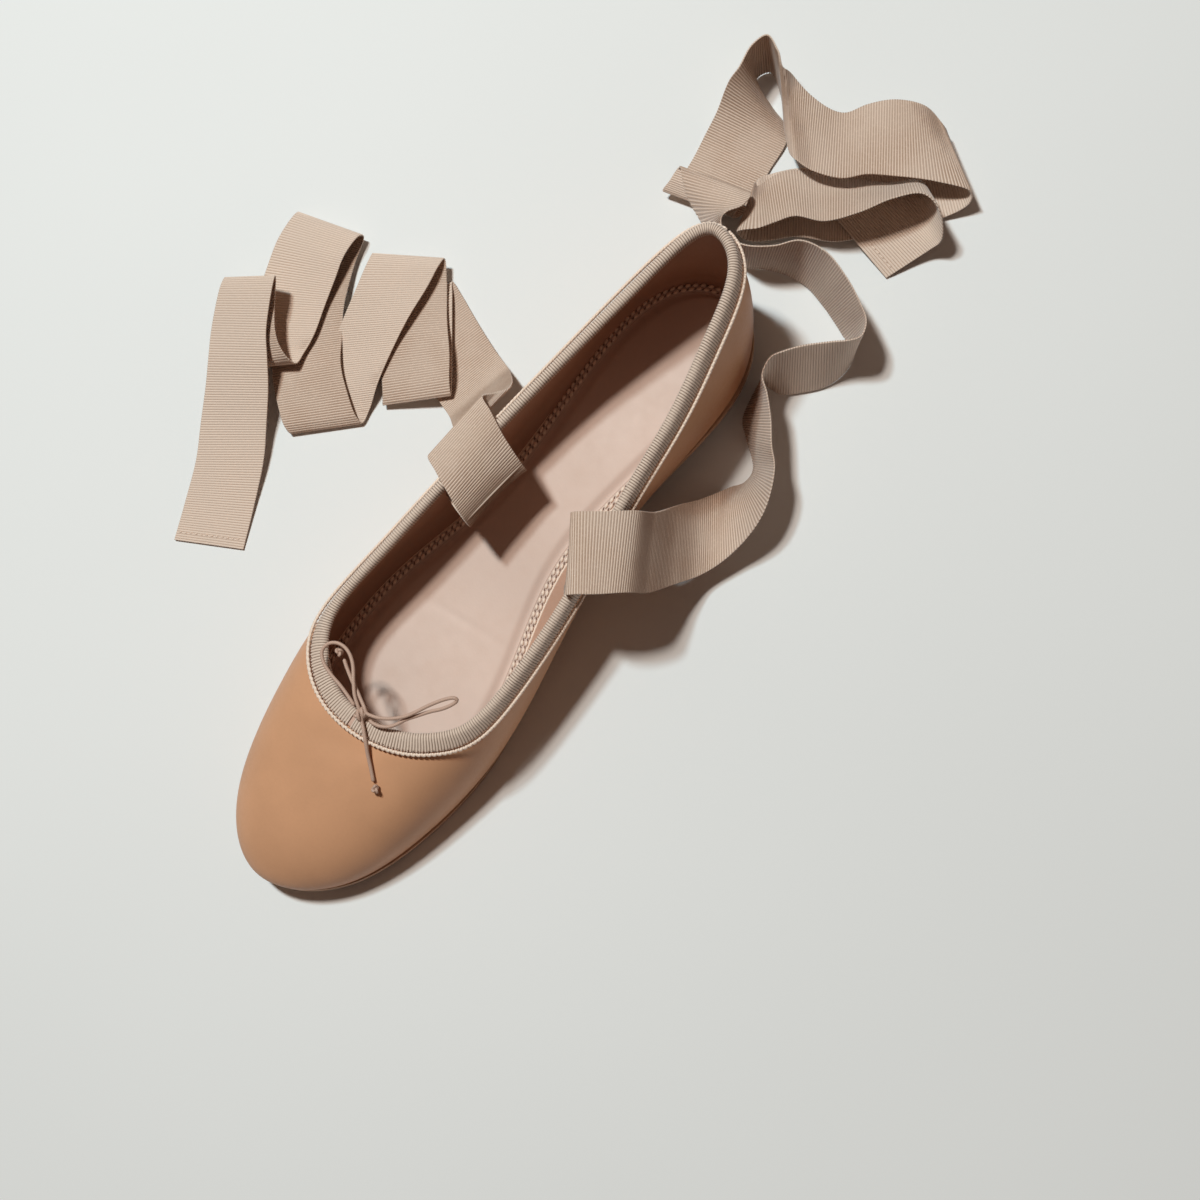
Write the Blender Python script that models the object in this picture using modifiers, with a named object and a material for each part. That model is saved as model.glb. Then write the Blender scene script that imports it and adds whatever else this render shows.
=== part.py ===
"""A lace-up ballet flat, right foot: outsole, low heel, hollow upper, insole, collar binding, ties and bow.

Frame: +Z up from the floor, toe towards -Y, big-toe side towards +X, in metres. Tables are in millimetres.
"""

import math

import bmesh
import bpy
import numpy as np
from mathutils import Vector

MM = 0.001

# Fineness of the faceting
COLUMNS_PER_ROW = 4
WALL_ROWS = 9
FINE_WALL_ROWS = 41  # the wall as the binding follows it
RIBBON_STEPS = 3  # lines across the ribbon for each row of its table
CORD_STEP = 3.0  # distance between the points of a cord
CORD_FINENESS = 8  # curve points for each row of a cord's table, before they are spaced out
KNOT_SEGMENTS = 12
KNOT_RINGS = 8

# Colour and roughness of each material
MATERIALS = {
    "tan_leather": ((0.50, 0.26, 0.15), 0.45),
    "dark_sole": ((0.06, 0.03, 0.02), 0.6),
    "pale_sole": ((0.42, 0.27, 0.17), 0.6),
    "blush_sock": ((0.62, 0.44, 0.38), 0.4),
    "grosgrain": ((0.60, 0.45, 0.36), 0.85),
    "taupe_cord": ((0.30, 0.19, 0.13), 0.8),
}

# Driving sizes, in millimetres
HEEL_RISE = 8.0  # floor to the outsole's underside under the heel
TOE_SPRING = 6.5  # floor to the outsole's underside at the toe tip
TREAD_FRONT = -76.0  # the outsole is flat on the floor from here ...
TREAD_BACK = -28.0  # ... to here
TOE_TIP = -128.0
SPRING_CURVE = 1.7  # how late the toe spring turns up
BREAST = 60.0  # front face of the heel
SEAT_FRONT = 66.0  # the heel seat is level behind this line
OUTSOLE_THICK = 3.0
WALL = 1.5
INSOLE_THICK = 2.6
GAP = 0.3
FEATHER_INSET = 0.9  # how far the upper's foot stands inside the outsole's edge
HEEL_INSET = 1.2
HEEL_CLEAR = 1.0  # the heel's side starts this far behind its breast
SOLE_ROUND = 0.7
INSOLE_CLEAR = 0.7  # between the insole's edge and the wall's inner face
BINDING_THICK = 0.6
BINDING_OUTSIDE = 4.6  # how far the binding reaches down the outside of the wall
BINDING_INSIDE = 6.0
BINDING_CROWN = 1.4  # how far its turn stands over the collar edge
TURN_DEPTH = 0.4  # where that turn starts, below the edge
TURN_ANGLES = (45, 135)
RIBBON_WIDTH = 25.0
RIBBON_THICK = 0.6
CORD_DIAMETER = 1.2
END_KNOT_RADIUS = 1.1
CENTRE = (2.25, 4.03)  # moves the tables' frame to one centred on the shoe's outline

# One row for each section round the shoe, from the back of the heel by the inner side to the toe and back.
# foot_x, foot_y: where the wall meets the sole.  top_x, top_y, top_z: the collar edge.
# bulge, rise: how the wall leaves the sole.  reach, drop: how it arrives at the collar.
RING = (
    # foot_x, foot_y, top_x, top_y, top_z, bulge, rise, reach, drop
    (-3.5, 115.0, -3.6, 119.0, 60.4, 4.6, 15.0, 1.2, 16.0),
    (10.4, 107.6, 7.0, 111.8, 58.8, 3.8, 15.0, 3.0, 15.0),
    (18.6, 91.0, 12.8, 92.0, 53.4, 3.4, 13.0, 4.4, 12.0),
    (19.0, 67.0, 17.6, 69.0, 48.0, 4.6, 7.5, 3.4, 11.0),
    (16.4, 40.0, 21.0, 42.0, 43.4, 6.6, 6.8, 1.8, 10.0),
    (15.6, 10.0, 25.8, 10.0, 39.8, 10.2, 5.5, 1.8, 10.0),
    (23.8, -20.0, 28.4, -19.0, 37.0, 9.3, 5.9, 2.8, 9.0),
    (31.8, -52.0, 27.6, -41.0, 35.8, 5.1, 7.5, 5.4, 7.0),
    (29.8, -86.0, 21.0, -52.8, 36.3, 3.4, 11.0, 13.0, 5.5),
    (19.6, -113.8, 10.6, -60.5, 37.2, 3.4, 12.0, 23.0, 5.0),
    (-2.4, -127.4, -3.2, -63.9, 37.6, 3.6, 13.0, 28.0, 5.0),
    (-23.4, -114.0, -15.6, -62.2, 37.3, 3.4, 12.0, 22.0, 5.0),
    (-33.0, -86.0, -25.6, -55.8, 36.4, 3.4, 11.0, 12.5, 5.5),
    (-37.4, -52.0, -32.2, -42.8, 35.8, 3.4, 10.0, 3.6, 7.0),
    (-35.6, -20.0, -31.3, -19.0, 37.0, 3.6, 10.0, 2.4, 9.0),
    (-30.4, 10.0, -28.8, 10.0, 39.8, 3.8, 10.0, 2.2, 10.0),
    (-27.2, 40.0, -25.0, 42.0, 43.4, 3.6, 10.0, 2.4, 10.0),
    (-26.2, 67.0, -20.8, 69.0, 48.0, 3.4, 12.0, 3.4, 11.0),
    (-24.6, 91.0, -16.6, 92.0, 53.4, 3.6, 13.0, 4.4, 12.0),
    (-17.2, 107.6, -11.6, 113.0, 59.2, 4.0, 15.0, 2.6, 15.0),
)

# The ties: one row for each place where the ribbon turns, from its sewn end to its hemmed end.
# x, y, z: the ribbon's middle.  across: plan heading of the line from its first selvedge to its second.
# tilt: how far that line climbs, so 0 lies flat and 90 stands on edge.
TIE_LATERAL = (
    # x, y, z, across, tilt
    (-27.9, 19, 22, 84, 0),
    (-27.8, 19, 27, 84, 0),
    (-25.2, 18.4, 31, 84, 0),
    (-20, 17.2, 33, 84, 0),
    (-15.4, 16.2, 33, 84, 0),
    (-13, 16, 34.8, 84, 0),
    (-14.4, 16.6, 38.4, 85, 0),
    (-17.8, 18, 42.4, 87, 0),
    (-21.6, 19.6, 45, 89, 0),
    (-25.6, 21.3, 46.4, 88, 0),
    (-30, 23, 46, 87, 0),
    (-35.5, 25, 43.5, 87, 0),
    (-34.5, 28, 40, 87, 0),
    (-33, 32, 37.5, 85, 0),
    (-34.5, 34, 34, 84, 0),
    (-38, 35.5, 27, 83, 0),
    (-43, 37, 18, 80, 0),
    (-49, 38.5, 8, 78, 0),
    (-56, 40, 3.6, 77, 0),
    (-63, 42, 2.2, 75, 0),
    (-72, 45, 1.4, 74, 0),
    (-83, 49, 1.0, 70, 0),
    (-87.5, 50.3, 1.8, 67, 0),
    (-85, 47, 3.2, 61, 0),
    (-76, 36, 4.0, 51, 2),
    (-68, 27, 4.0, 46, 8),
    (-64.8, 23.5, 5.4, 43, 10),
    (-67, 26.5, 7.4, 43, 13),
    (-74, 34, 7.2, 42, 9),
    (-83, 42, 6.2, 41, 1),
    (-93, 53, 5.0, 36, 0),
    (-98.5, 59, 6.4, 33, 0),
    (-97.5, 56, 8.6, 34, 2),
    (-95, 47, 9.2, 38, 3),
    (-93, 36, 8.2, 38, 11),
    (-91, 25, 5.8, 39, 14),
    (-88, 12, 3.8, 42, 12),
    (-85.5, 2, 1.6, 45, 3),
    (-84.5, -3, 2.0, 46, 0),
    (-87, -2.5, 4.4, 46, 0),
    (-94, 2, 5.8, 46, 4),
    (-102, 8, 5.4, 45, 6),
    (-109, 16, 3.8, 43, 6),
    (-116, 25, 3.2, 40, 6),
    (-124, 39, 2.6, 28, 2),
    (-128.5, 51, 4.2, 18, 0),
    (-128.5, 50, 6.6, 18, 3),
    (-127, 41, 8.6, 23, 3),
    (-124, 31, 7.6, 28, 2),
    (-121, 22, 6.8, 33, 2),
    (-117, 11.5, 6.6, 36, 3),
    (-115, 4, 6.2, 40, 6),
    (-113.8, -0.5, 7.2, 40, 11),
    (-115, -0.5, 9.6, 40, 19),
    (-119, 2, 11, 36, 26),
    (-124, 6, 11, 32, 28),
    (-131, 14, 11, 31, 28),
    (-134.5, 19, 11.8, 30, 28),
    (-134.8, 20, 14, 30, 27),
    (-133, 17, 15.6, 30, 25),
    (-126, 4, 14, 30, 22),
    (-121, -3, 12.6, 32, 18),
    (-116, -11, 9.4, 34, 13),
    (-110, -22, 5.4, 36, 8),
    (-104, -32, 3.2, 37, 5),
    (-97.5, -46, 1.4, 34, 2),
    (-91.5, -59, 0.8, 31, 0),
)

TIE_MEDIAL = (
    # x, y, z, across, tilt
    (21.0, 21, 21, -82, 0),
    (21.8, 21, 28, -82, 0),
    (19.2, 21, 35.5, -79, 0),
    (19.0, 18.5, 42, -66, 0),
    (18.5, 17, 46, -54, 0),
    (20.5, 18.5, 48.4, -51, 0),
    (26, 23, 48, -54, 0),
    (32, 29, 44, -57, 0),
    (35, 33, 33, -55, 0),
    (37, 40, 20, -53, 0),
    (40, 48, 9.4, -51, 6),
    (43, 57, 7, -44, 25),
    (45, 67, 10.9, -21, 52),
    (42, 76, 12.4, 5, 66),
    (35, 82, 12.2, 6, 62),
    (30, 87, 12.0, 15, 62),
    (26, 93, 12.6, 12, 71),
    (23, 98.5, 13.2, -10, 82),
    (24, 101, 13.2, 100, 80),
    (27, 103.5, 12.8, 113, 70),
    (31, 108, 12.6, 117, 67),
    (37, 115, 12.8, 117, 71),
    (40, 121, 13.2, 95, 82),
    (40, 125, 13.2, 30, 82),
    (37, 128, 12.9, 40, 74),
    (31, 131, 12.7, 40, 70),
    (23, 134, 12.7, 50, 69),
    (14, 136, 12.7, 66, 70),
    (6, 134.5, 12.9, 70, 73),
    (0, 130, 13.0, 40, 79),
    (-7, 125.5, 13.2, 25, 83),
    (-14, 125, 13.3, 14, 82),
    (-20, 127, 13.8, 13, 74),
    (-23, 129.5, 15.2, 13, 60),
    (-25.5, 133.5, 16.8, 14, 30),
    (-29, 138.5, 15.6, 15, 4),
    (-31, 139, 12.2, 16, 2),
    (-31.5, 134.5, 8.8, 16, 0),
    (-32.5, 131.5, 5, 16, 0),
    (-31.5, 134, 1.6, 15, 0),
    (-32, 143, 1.0, 14, 0),
    (-34, 153, 1, 12, 0),
    (-35, 163, 4.6, 13, -16),
    (-37, 168, 8.9, 12, -40),
    (-39.5, 171, 12.1, 10, -66),
    (-45, 177, 13.2, -83, -85),
    (-43, 182, 13.6, -75, -85),
    (-36, 179, 13.8, -57, -78),
    (-28, 172, 14.5, -52, -50),
    (-22, 170, 14, -53, -6),
    (-13, 170, 12.5, -55, 12),
    (-5, 173, 11.5, -52, 16),
    (0, 179, 12, -52, 10),
    (7, 184, 13.5, -52, 0),
    (17, 189, 13.6, -44, 0),
    (25.5, 191, 11.5, -30, 3),
    (27.5, 190, 6.0, -34, 3),
    (24, 184, 1.8, -39, 2),
    (15, 173, 1.3, -47, 2),
    (4, 159, 2.2, -52, 5),
    (-7, 151, 4.4, -50, 12),
    (-13, 144, 5.4, -50, 15),
    (-16, 140.5, 6.8, -58, 20),
    (-17.4, 139.3, 9.4, -64, 31),
    (-16, 139.5, 12.4, -56, 36),
    (-13.5, 140.5, 13.6, -46, 40),
    (-11.5, 145.2, 12.5, -41, 38),
    (-8, 151, 12, -43, 36),
    (1, 156, 11.5, -48, 36),
    (10, 163, 12.5, -49, 48),
    (17.5, 170, 14.4, -48, 60),
    (24, 176, 15.2, -41, 60),
    (28, 176, 13.5, -34, 52),
    (28.5, 172, 8.4, -22, 22),
    (25, 166, 5.6, -10, 2),
    (19, 152, 2.6, -11, -9),
)

# The bow: each cord's route from the knot, as x, y, z.
KNOT = (-1.6, -61.6, 40.5)
KNOT_RADII = (2.3, 1.6, 1.4)
LOOP_LATERAL = (
    (-4.7, -61.1, 40.9),
    (-7.8, -60.2, 41.2),
    (-12.1, -59.2, 41.3),
    (-17.1, -58.4, 41.5),
    (-21.4, -56.9, 41.7),
    (-23.7, -54.6, 41.9),
    (-23.4, -51.7, 42.2),
    (-21.4, -49.8, 42.4),
    (-18.7, -49.2, 42.4),
    (-16.0, -49.8, 42.4),
    (-13.0, -51.7, 42.4),
    (-9.4, -55.5, 42.4),
    (-6.6, -58.3, 42.2),
    (-3.8, -60.2, 41.8),
)
LOOP_MEDIAL = (
    (1.4, -61.5, 40.6),
    (3.4, -61.4, 40.6),
    (5.5, -60.7, 40.7),
    (7.6, -59.2, 40.8),
    (9.2, -57.0, 41.0),
    (10.5, -54.1, 41.3),
    (13.1, -50.1, 41.6),
    (15.1, -47.1, 41.9),
    (17.5, -44.1, 42.3),
    (19.0, -41.5, 42.6),
    (19.7, -39.5, 42.9),
    (19.5, -38.7, 43.3),
    (18.5, -39.0, 43.6),
    (17.1, -40.5, 43.6),
    (15.3, -43.3, 43.6),
    (13.6, -46.5, 43.4),
    (12.0, -49.9, 43.1),
    (10.4, -52.8, 42.8),
    (7.5, -56.1, 42.4),
    (4.2, -58.6, 42.0),
    (1.4, -59.9, 41.6),
)
TAIL_INNER = (
    (-1.8, -59.3, 41.9),
    (-4.3, -58.3, 41.3),
    (-6.8, -57.2, 41.0),
    (-9.3, -56.3, 40.8),
    (-11.6, -55.2, 40.8),
    (-14.4, -53.7, 41.0),
    (-16.9, -52.2, 41.2),
)
TAIL_FRONT = (
    (0.2, -63.5, 40.2),
    (2.3, -65.2, 40.0),
    (4.8, -67.5, 39.3),
    (7.2, -70.0, 37.9),
    (10.2, -72.8, 36.2),
    (13.6, -76.0, 34.7),
)
END_KNOT_INNER = (-19.3, -51.6, 41.3)
END_KNOT_FRONT = (15.4, -77.3, 34.5)


def smooth_ring(rows, per_row):
    """Values between the rows of a closed table, by the periodic cubic spline through them."""
    rows = np.array(rows, float)
    count = len(rows)
    system = 4 * np.eye(count) + np.roll(np.eye(count), 1, 0) + np.roll(np.eye(count), -1, 0)
    bend = np.linalg.solve(system, 6 * (np.roll(rows, -1, 0) - 2 * rows + np.roll(rows, 1, 0)))
    after, bend_after = np.roll(rows, -1, 0), np.roll(bend, -1, 0)
    out = []
    for index in range(count):
        for step in range(per_row):
            t = step / per_row
            out.append(
                (1 - t) * rows[index]
                + t * after[index]
                + ((1 - t) ** 3 - (1 - t)) * bend[index] / 6
                + (t**3 - t) * bend_after[index] / 6
            )
    return np.array(out)


def smooth_line(rows, steps, columns=3):
    """An open cubic through the rows, spaced by the root of their distance; steps of it for each row."""
    rows = np.array(rows, float)
    gaps = np.linalg.norm(np.diff(rows[:, :columns], axis=0), axis=1)
    at = np.concatenate([[0.0], np.cumsum(np.sqrt(gaps))])
    slope = np.gradient(rows, at, axis=0)
    out = []
    for index in range(len(rows) - 1):
        span = at[index + 1] - at[index]
        for step in range(steps):
            t = step / steps
            out.append(
                (2 * t**3 - 3 * t**2 + 1) * rows[index]
                + (t**3 - 2 * t**2 + t) * span * slope[index]
                + (3 * t**2 - 2 * t**3) * rows[index + 1]
                + (t**3 - t**2) * span * slope[index + 1]
            )
    out.append(rows[-1])
    return np.array(out)


def even_points(line, spacing):
    """Points along a line at equal distances, near the spacing asked for."""
    run = np.concatenate([[0.0], np.cumsum(np.linalg.norm(np.diff(line, axis=0), axis=1))])
    count = max(2, round(run[-1] / spacing) + 1)
    wanted = np.linspace(0.0, run[-1], count)
    return np.stack([np.interp(wanted, run, line[:, axis]) for axis in range(3)], 1)


def ribbon_edges(table):
    """The two selvedges of a ribbon, as points side by side."""
    table = np.array(table, float)
    across, tilt = np.radians(table[:, 3]), np.radians(table[:, 4])
    lines = np.stack([np.cos(tilt) * np.cos(across), np.cos(tilt) * np.sin(across), np.sin(tilt)], 1)
    rows = smooth_line(np.hstack([table[:, :3], lines]), RIBBON_STEPS)
    lines = rows[:, 3:] / np.linalg.norm(rows[:, 3:], axis=1, keepdims=True)
    half = lines * RIBBON_WIDTH / 2
    return rows[:, :3] - half, rows[:, :3] + half


def ring_normals(points):
    """Outward plan normals of a closed loop that runs clockwise seen from above."""
    along = np.roll(points, -1, 0) - np.roll(points, 1, 0)
    across = np.stack([-along[:, 1], along[:, 0]], 1)
    return across / np.linalg.norm(across, axis=1, keepdims=True)


def ease(t):
    t = np.clip(t, 0.0, 1.0)
    return t * t * (3 - 2 * t)


def underside(y):
    """Height of the outsole's underside: level seat, arch, tread on the floor, toe spring."""
    arch = HEEL_RISE * ease((y - TREAD_BACK) / (SEAT_FRONT - TREAD_BACK))
    spring = TOE_SPRING * (np.clip((TREAD_FRONT - y) / (TREAD_FRONT - TOE_TIP), 0, None)) ** SPRING_CURVE
    return arch + spring


def ring_columns():
    return smooth_ring(RING, COLUMNS_PER_ROW)


def wall_grid(rows):
    """The wall's outer face, [column, row, xyz] from the sole to the collar edge, and its normals."""
    columns = ring_columns()
    foot, top = columns[:, 0:2], columns[:, 2:5]
    foot_out, top_out = ring_normals(foot), ring_normals(top[:, :2])
    bulge, rise, reach, drop = (columns[:, i : i + 1] for i in (5, 6, 7, 8))
    foot_z = underside(foot[:, 1:2]) + OUTSOLE_THICK + GAP
    start = np.hstack([foot, foot_z])
    leave = np.hstack([foot + foot_out * bulge, foot_z + rise])
    arrive = np.hstack([top[:, :2] + top_out * reach, top[:, 2:3] - drop])
    grid = []
    for t in np.linspace(0, 1, rows):
        near = (1 - t) ** 3 * start + 3 * t * (1 - t) ** 2 * leave
        grid.append(near + 3 * t * t * (1 - t) * arrive + t**3 * top)
    grid = np.stack(grid, 1)
    return grid, surface_normals(grid)


def surface_normals(grid):
    along = np.roll(grid, -1, 0) - np.roll(grid, 1, 0)
    up = np.gradient(grid, axis=1)
    normals = np.cross(up, along)
    return normals / np.linalg.norm(normals, axis=2, keepdims=True)


def clear_scene():
    for old in list(bpy.data.objects):
        bpy.data.objects.remove(old, do_unlink=True)


def new_collection(name):
    made = bpy.data.collections.new(name)
    bpy.context.scene.collection.children.link(made)
    return made


def new_material(name):
    colour, roughness = MATERIALS[name]
    made = bpy.data.materials.new(name)
    made.use_nodes = True
    shader = made.node_tree.nodes["Principled BSDF"]
    shader.inputs["Base Color"].default_value = (*colour, 1.0)
    shader.inputs["Roughness"].default_value = roughness
    return made


def add_object(parts, name, data, material, sharp=None):
    made = bpy.data.objects.new(name, data)
    data.materials.append(material)
    parts.objects.link(made)
    made.parent = parts.objects["centre"]
    if sharp is not None:
        data.shade_smooth()
        data.set_sharp_from_angle(angle=math.radians(sharp))
    return made


def thicken(obj, thickness, offset):
    """A wall of real thickness from an open sheet; offset 1 grows along the normals, -1 against them."""
    shell = obj.modifiers.new("Wall", "SOLIDIFY")
    shell.thickness = thickness * MM
    shell.offset = offset
    shell.use_even_offset = True
    return shell


def loop_sheet(name, grid):
    """A sheet from a grid whose columns close on themselves; its faces look along the grid's normals."""
    form = bmesh.new()
    lines = [[form.verts.new(Vector(p) * MM) for p in column] for column in grid]
    for index, line in enumerate(lines):
        following = lines[(index + 1) % len(lines)]
        for row in range(len(line) - 1):
            form.faces.new((line[row], line[row + 1], following[row + 1], following[row]))
    return finish_mesh(name, form)


def finish_mesh(name, form):
    mesh = bpy.data.meshes.new(name)
    form.to_mesh(mesh)
    form.free()
    return mesh


def rung_sheet(name, outline, height, across=4):
    """A sheet that fills an outline with rungs from its inner to its outer side, laid at height(y)."""
    half = len(outline) // 2
    form = bmesh.new()

    def point(xy):
        return form.verts.new(Vector((xy[0], xy[1], height(xy[1]))) * MM)

    rungs = []
    for index in range(1, half):
        inner, outer = outline[index], outline[-index]
        rungs.append([point(inner + (outer - inner) * step / across) for step in range(across + 1)])
    for near, far in zip(rungs, rungs[1:]):
        for step in range(across):
            form.faces.new((near[step], near[step + 1], far[step + 1], far[step]))
    for end, rung in ((point(outline[0]), rungs[0]), (point(outline[half]), rungs[-1])):
        for step in range(across):
            form.faces.new((end, rung[step], rung[step + 1]))
    bmesh.ops.recalc_face_normals(form, faces=form.faces)
    form.faces.ensure_lookup_table()
    if form.faces[0].normal.z < 0:
        bmesh.ops.reverse_faces(form, faces=form.faces)
    return finish_mesh(name, form)


def foot_outline(outward):
    foot = ring_columns()[:, 0:2]
    return foot + ring_normals(foot) * outward


def add_centre(parts):
    centre = bpy.data.objects.new("centre", None)
    centre.location = (CENTRE[0] * MM, CENTRE[1] * MM, 0)
    parts.objects.link(centre)


def add_outsole(parts, material):
    mesh = rung_sheet("outsole", foot_outline(FEATHER_INSET), underside)
    sole = add_object(parts, "outsole", mesh, material, sharp=40)
    thicken(sole, OUTSOLE_THICK, 1)
    edge = sole.modifiers.new("Rounded edge", "BEVEL")
    edge.width = SOLE_ROUND * MM
    edge.segments = 2
    edge.limit_method = "ANGLE"
    edge.angle_limit = math.radians(50)


def add_insole(parts, material):
    outline = foot_outline(-(WALL + INSOLE_CLEAR))
    mesh = rung_sheet("insole", outline, lambda y: underside(y) + OUTSOLE_THICK + GAP)
    insole = add_object(parts, "insole", mesh, material, sharp=40)
    thicken(insole, INSOLE_THICK, 1)


def add_heel(parts, material):
    outline = foot_outline(-HEEL_INSET)
    half = len(outline) // 2
    seat = [tuple(p) for p in np.roll(outline, half, 0) if p[1] > BREAST + HEEL_CLEAR]
    corners = [(seat[0][0], BREAST), *seat, (seat[-1][0], BREAST)]
    curve = bpy.data.curves.new("heel", "CURVE")
    curve.dimensions = "2D"
    curve.fill_mode = "BOTH"
    line = curve.splines.new("POLY")
    line.points.add(len(corners) - 1)
    line.use_cyclic_u = True
    for place, (x, y) in zip(line.points, corners):
        place.co = (x * MM, y * MM, 0, 1)
    curve.extrude = (HEEL_RISE - GAP) / 2 * MM
    heel = add_object(parts, "heel", curve, material)
    heel.location.z = (HEEL_RISE - GAP) / 2 * MM


def add_upper(parts, material):
    grid, _ = wall_grid(WALL_ROWS)
    upper = add_object(parts, "upper", loop_sheet("upper", grid), material, sharp=50)
    thicken(upper, WALL, -1)


def binding_grid():
    """The tape's inner face: up the outside of the wall, round its edge and down the inside."""
    grid, normals = wall_grid(FINE_WALL_ROWS)
    rows = []
    runs = np.linalg.norm(np.diff(grid[:, ::-1], axis=1), axis=2)
    depths = np.hstack([np.zeros((len(grid), 1)), np.cumsum(runs, axis=1)])
    for depth in (BINDING_OUTSIDE, BINDING_OUTSIDE / 2, TURN_DEPTH):
        rows.append(on_wall(grid, normals, depths, depth, GAP))
    edge, out = grid[:, -1], normals[:, -1]
    climb = grid[:, -1] - grid[:, -2]
    climb /= np.linalg.norm(climb, axis=1, keepdims=True)
    middle = edge - out * WALL / 2
    radius = WALL / 2 + GAP
    for angle in TURN_ANGLES:
        turn = math.radians(angle)
        rows.append(middle + out * radius * math.cos(turn) + climb * BINDING_CROWN * math.sin(turn))
    for depth in (TURN_DEPTH, BINDING_INSIDE / 2, BINDING_INSIDE):
        rows.append(on_wall(grid, normals, depths, depth, -WALL - GAP))
    return np.stack(rows, 1)


def on_wall(grid, normals, depths, depth, off):
    """The point at this depth below the collar edge of each column, moved off the outer face by off."""
    found = []
    for column, normal, below in zip(grid[:, ::-1], normals[:, ::-1], depths):
        at = [np.interp(depth, below, column[:, axis] + normal[:, axis] * off) for axis in range(3)]
        found.append(at)
    return np.array(found)


def add_binding(parts, material):
    mesh = loop_sheet("topline_binding", binding_grid())
    tape = add_object(parts, "topline_binding", mesh, material, sharp=60)
    thicken(tape, BINDING_THICK, 1)


def add_tie(parts, name, table, material):
    first, second = ribbon_edges(table)
    form = bmesh.new()
    lines = [[form.verts.new(Vector(p) * MM) for p in pair] for pair in zip(first, second)]
    for near, far in zip(lines, lines[1:]):
        form.faces.new((near[0], near[1], far[1], far[0]))
    bmesh.ops.triangulate(form, faces=form.faces, quad_method="FIXED")
    ribbon = add_object(parts, name, finish_mesh(name, form), material, sharp=50)
    shell = thicken(ribbon, RIBBON_THICK, 0)
    shell.use_even_offset = False


def add_cord(parts, name, route, material):
    points = even_points(smooth_line(route, CORD_FINENESS), CORD_STEP)
    curve = bpy.data.curves.new(name, "CURVE")
    curve.dimensions = "3D"
    curve.bevel_depth = CORD_DIAMETER / 2 * MM
    curve.bevel_resolution = 2
    curve.use_fill_caps = True
    line = curve.splines.new("POLY")
    line.points.add(len(points) - 1)
    for place, point in zip(line.points, points):
        place.co = (*(Vector(point) * MM), 1)
    add_object(parts, name, curve, material)


def add_knot(parts, name, centre, radii, material):
    form = bmesh.new()
    bmesh.ops.create_uvsphere(form, u_segments=KNOT_SEGMENTS, v_segments=KNOT_RINGS, radius=MM)
    bmesh.ops.scale(form, vec=radii, verts=form.verts)
    knot = add_object(parts, name, finish_mesh(name, form), material, sharp=60)
    knot.location = Vector(centre) * MM


def add_bow(parts, material):
    add_knot(parts, "bow_knot", KNOT, KNOT_RADII, material)
    add_cord(parts, "bow_loop_lateral", LOOP_LATERAL, material)
    add_cord(parts, "bow_loop_medial", LOOP_MEDIAL, material)
    add_cord(parts, "bow_tail_inner", TAIL_INNER, material)
    add_cord(parts, "bow_tail_front", TAIL_FRONT, material)
    end_radii = (END_KNOT_RADIUS, END_KNOT_RADIUS, END_KNOT_RADIUS)
    add_knot(parts, "bow_end_knot_inner", END_KNOT_INNER, end_radii, material)
    add_knot(parts, "bow_end_knot_front", END_KNOT_FRONT, end_radii, material)


def main():
    clear_scene()
    parts = new_collection("ballet_flat")
    add_centre(parts)
    tan_leather = new_material("tan_leather")
    dark_sole = new_material("dark_sole")
    pale_sole = new_material("pale_sole")
    blush_sock = new_material("blush_sock")
    grosgrain = new_material("grosgrain")
    taupe_cord = new_material("taupe_cord")
    add_outsole(parts, pale_sole)
    add_heel(parts, dark_sole)
    add_upper(parts, tan_leather)
    add_insole(parts, blush_sock)
    add_binding(parts, grosgrain)
    add_tie(parts, "tie_lateral", TIE_LATERAL, grosgrain)
    add_tie(parts, "tie_medial", TIE_MEDIAL, grosgrain)
    add_bow(parts, taupe_cord)


main()
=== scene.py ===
"""The finished look of a lace-up ballet flat, right foot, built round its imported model.

Tables are in millimetres in the shoe's own frame: toe towards -Y, big-toe side towards +X, floor at z = 0.
"""

import math

import bmesh
import bpy
import numpy as np
from bpy.props import FloatProperty, FloatVectorProperty, PointerProperty
from mathutils import Matrix, Vector


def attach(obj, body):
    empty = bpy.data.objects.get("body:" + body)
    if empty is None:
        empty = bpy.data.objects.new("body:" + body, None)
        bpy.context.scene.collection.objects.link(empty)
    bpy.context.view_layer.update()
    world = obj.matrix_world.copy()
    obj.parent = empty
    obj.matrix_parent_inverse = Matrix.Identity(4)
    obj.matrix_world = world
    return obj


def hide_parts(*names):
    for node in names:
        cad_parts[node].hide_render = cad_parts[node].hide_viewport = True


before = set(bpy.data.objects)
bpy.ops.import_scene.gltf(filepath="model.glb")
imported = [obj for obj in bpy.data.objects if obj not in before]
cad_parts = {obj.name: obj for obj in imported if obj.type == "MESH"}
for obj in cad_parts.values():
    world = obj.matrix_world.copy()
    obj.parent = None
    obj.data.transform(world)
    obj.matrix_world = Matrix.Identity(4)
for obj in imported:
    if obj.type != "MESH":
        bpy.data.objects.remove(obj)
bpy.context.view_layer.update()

bl_info = {
    "name": "Ballet flat",
    "version": (1, 0, 0),
    "blender": (4, 5, 0),
    "location": "3D View > Sidebar > Ballet flat",
    "description": "Builds the leather, ribbon, bow and stitching of a lace-up ballet flat",
    "category": "Add Mesh",
}

MM = 0.001

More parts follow.
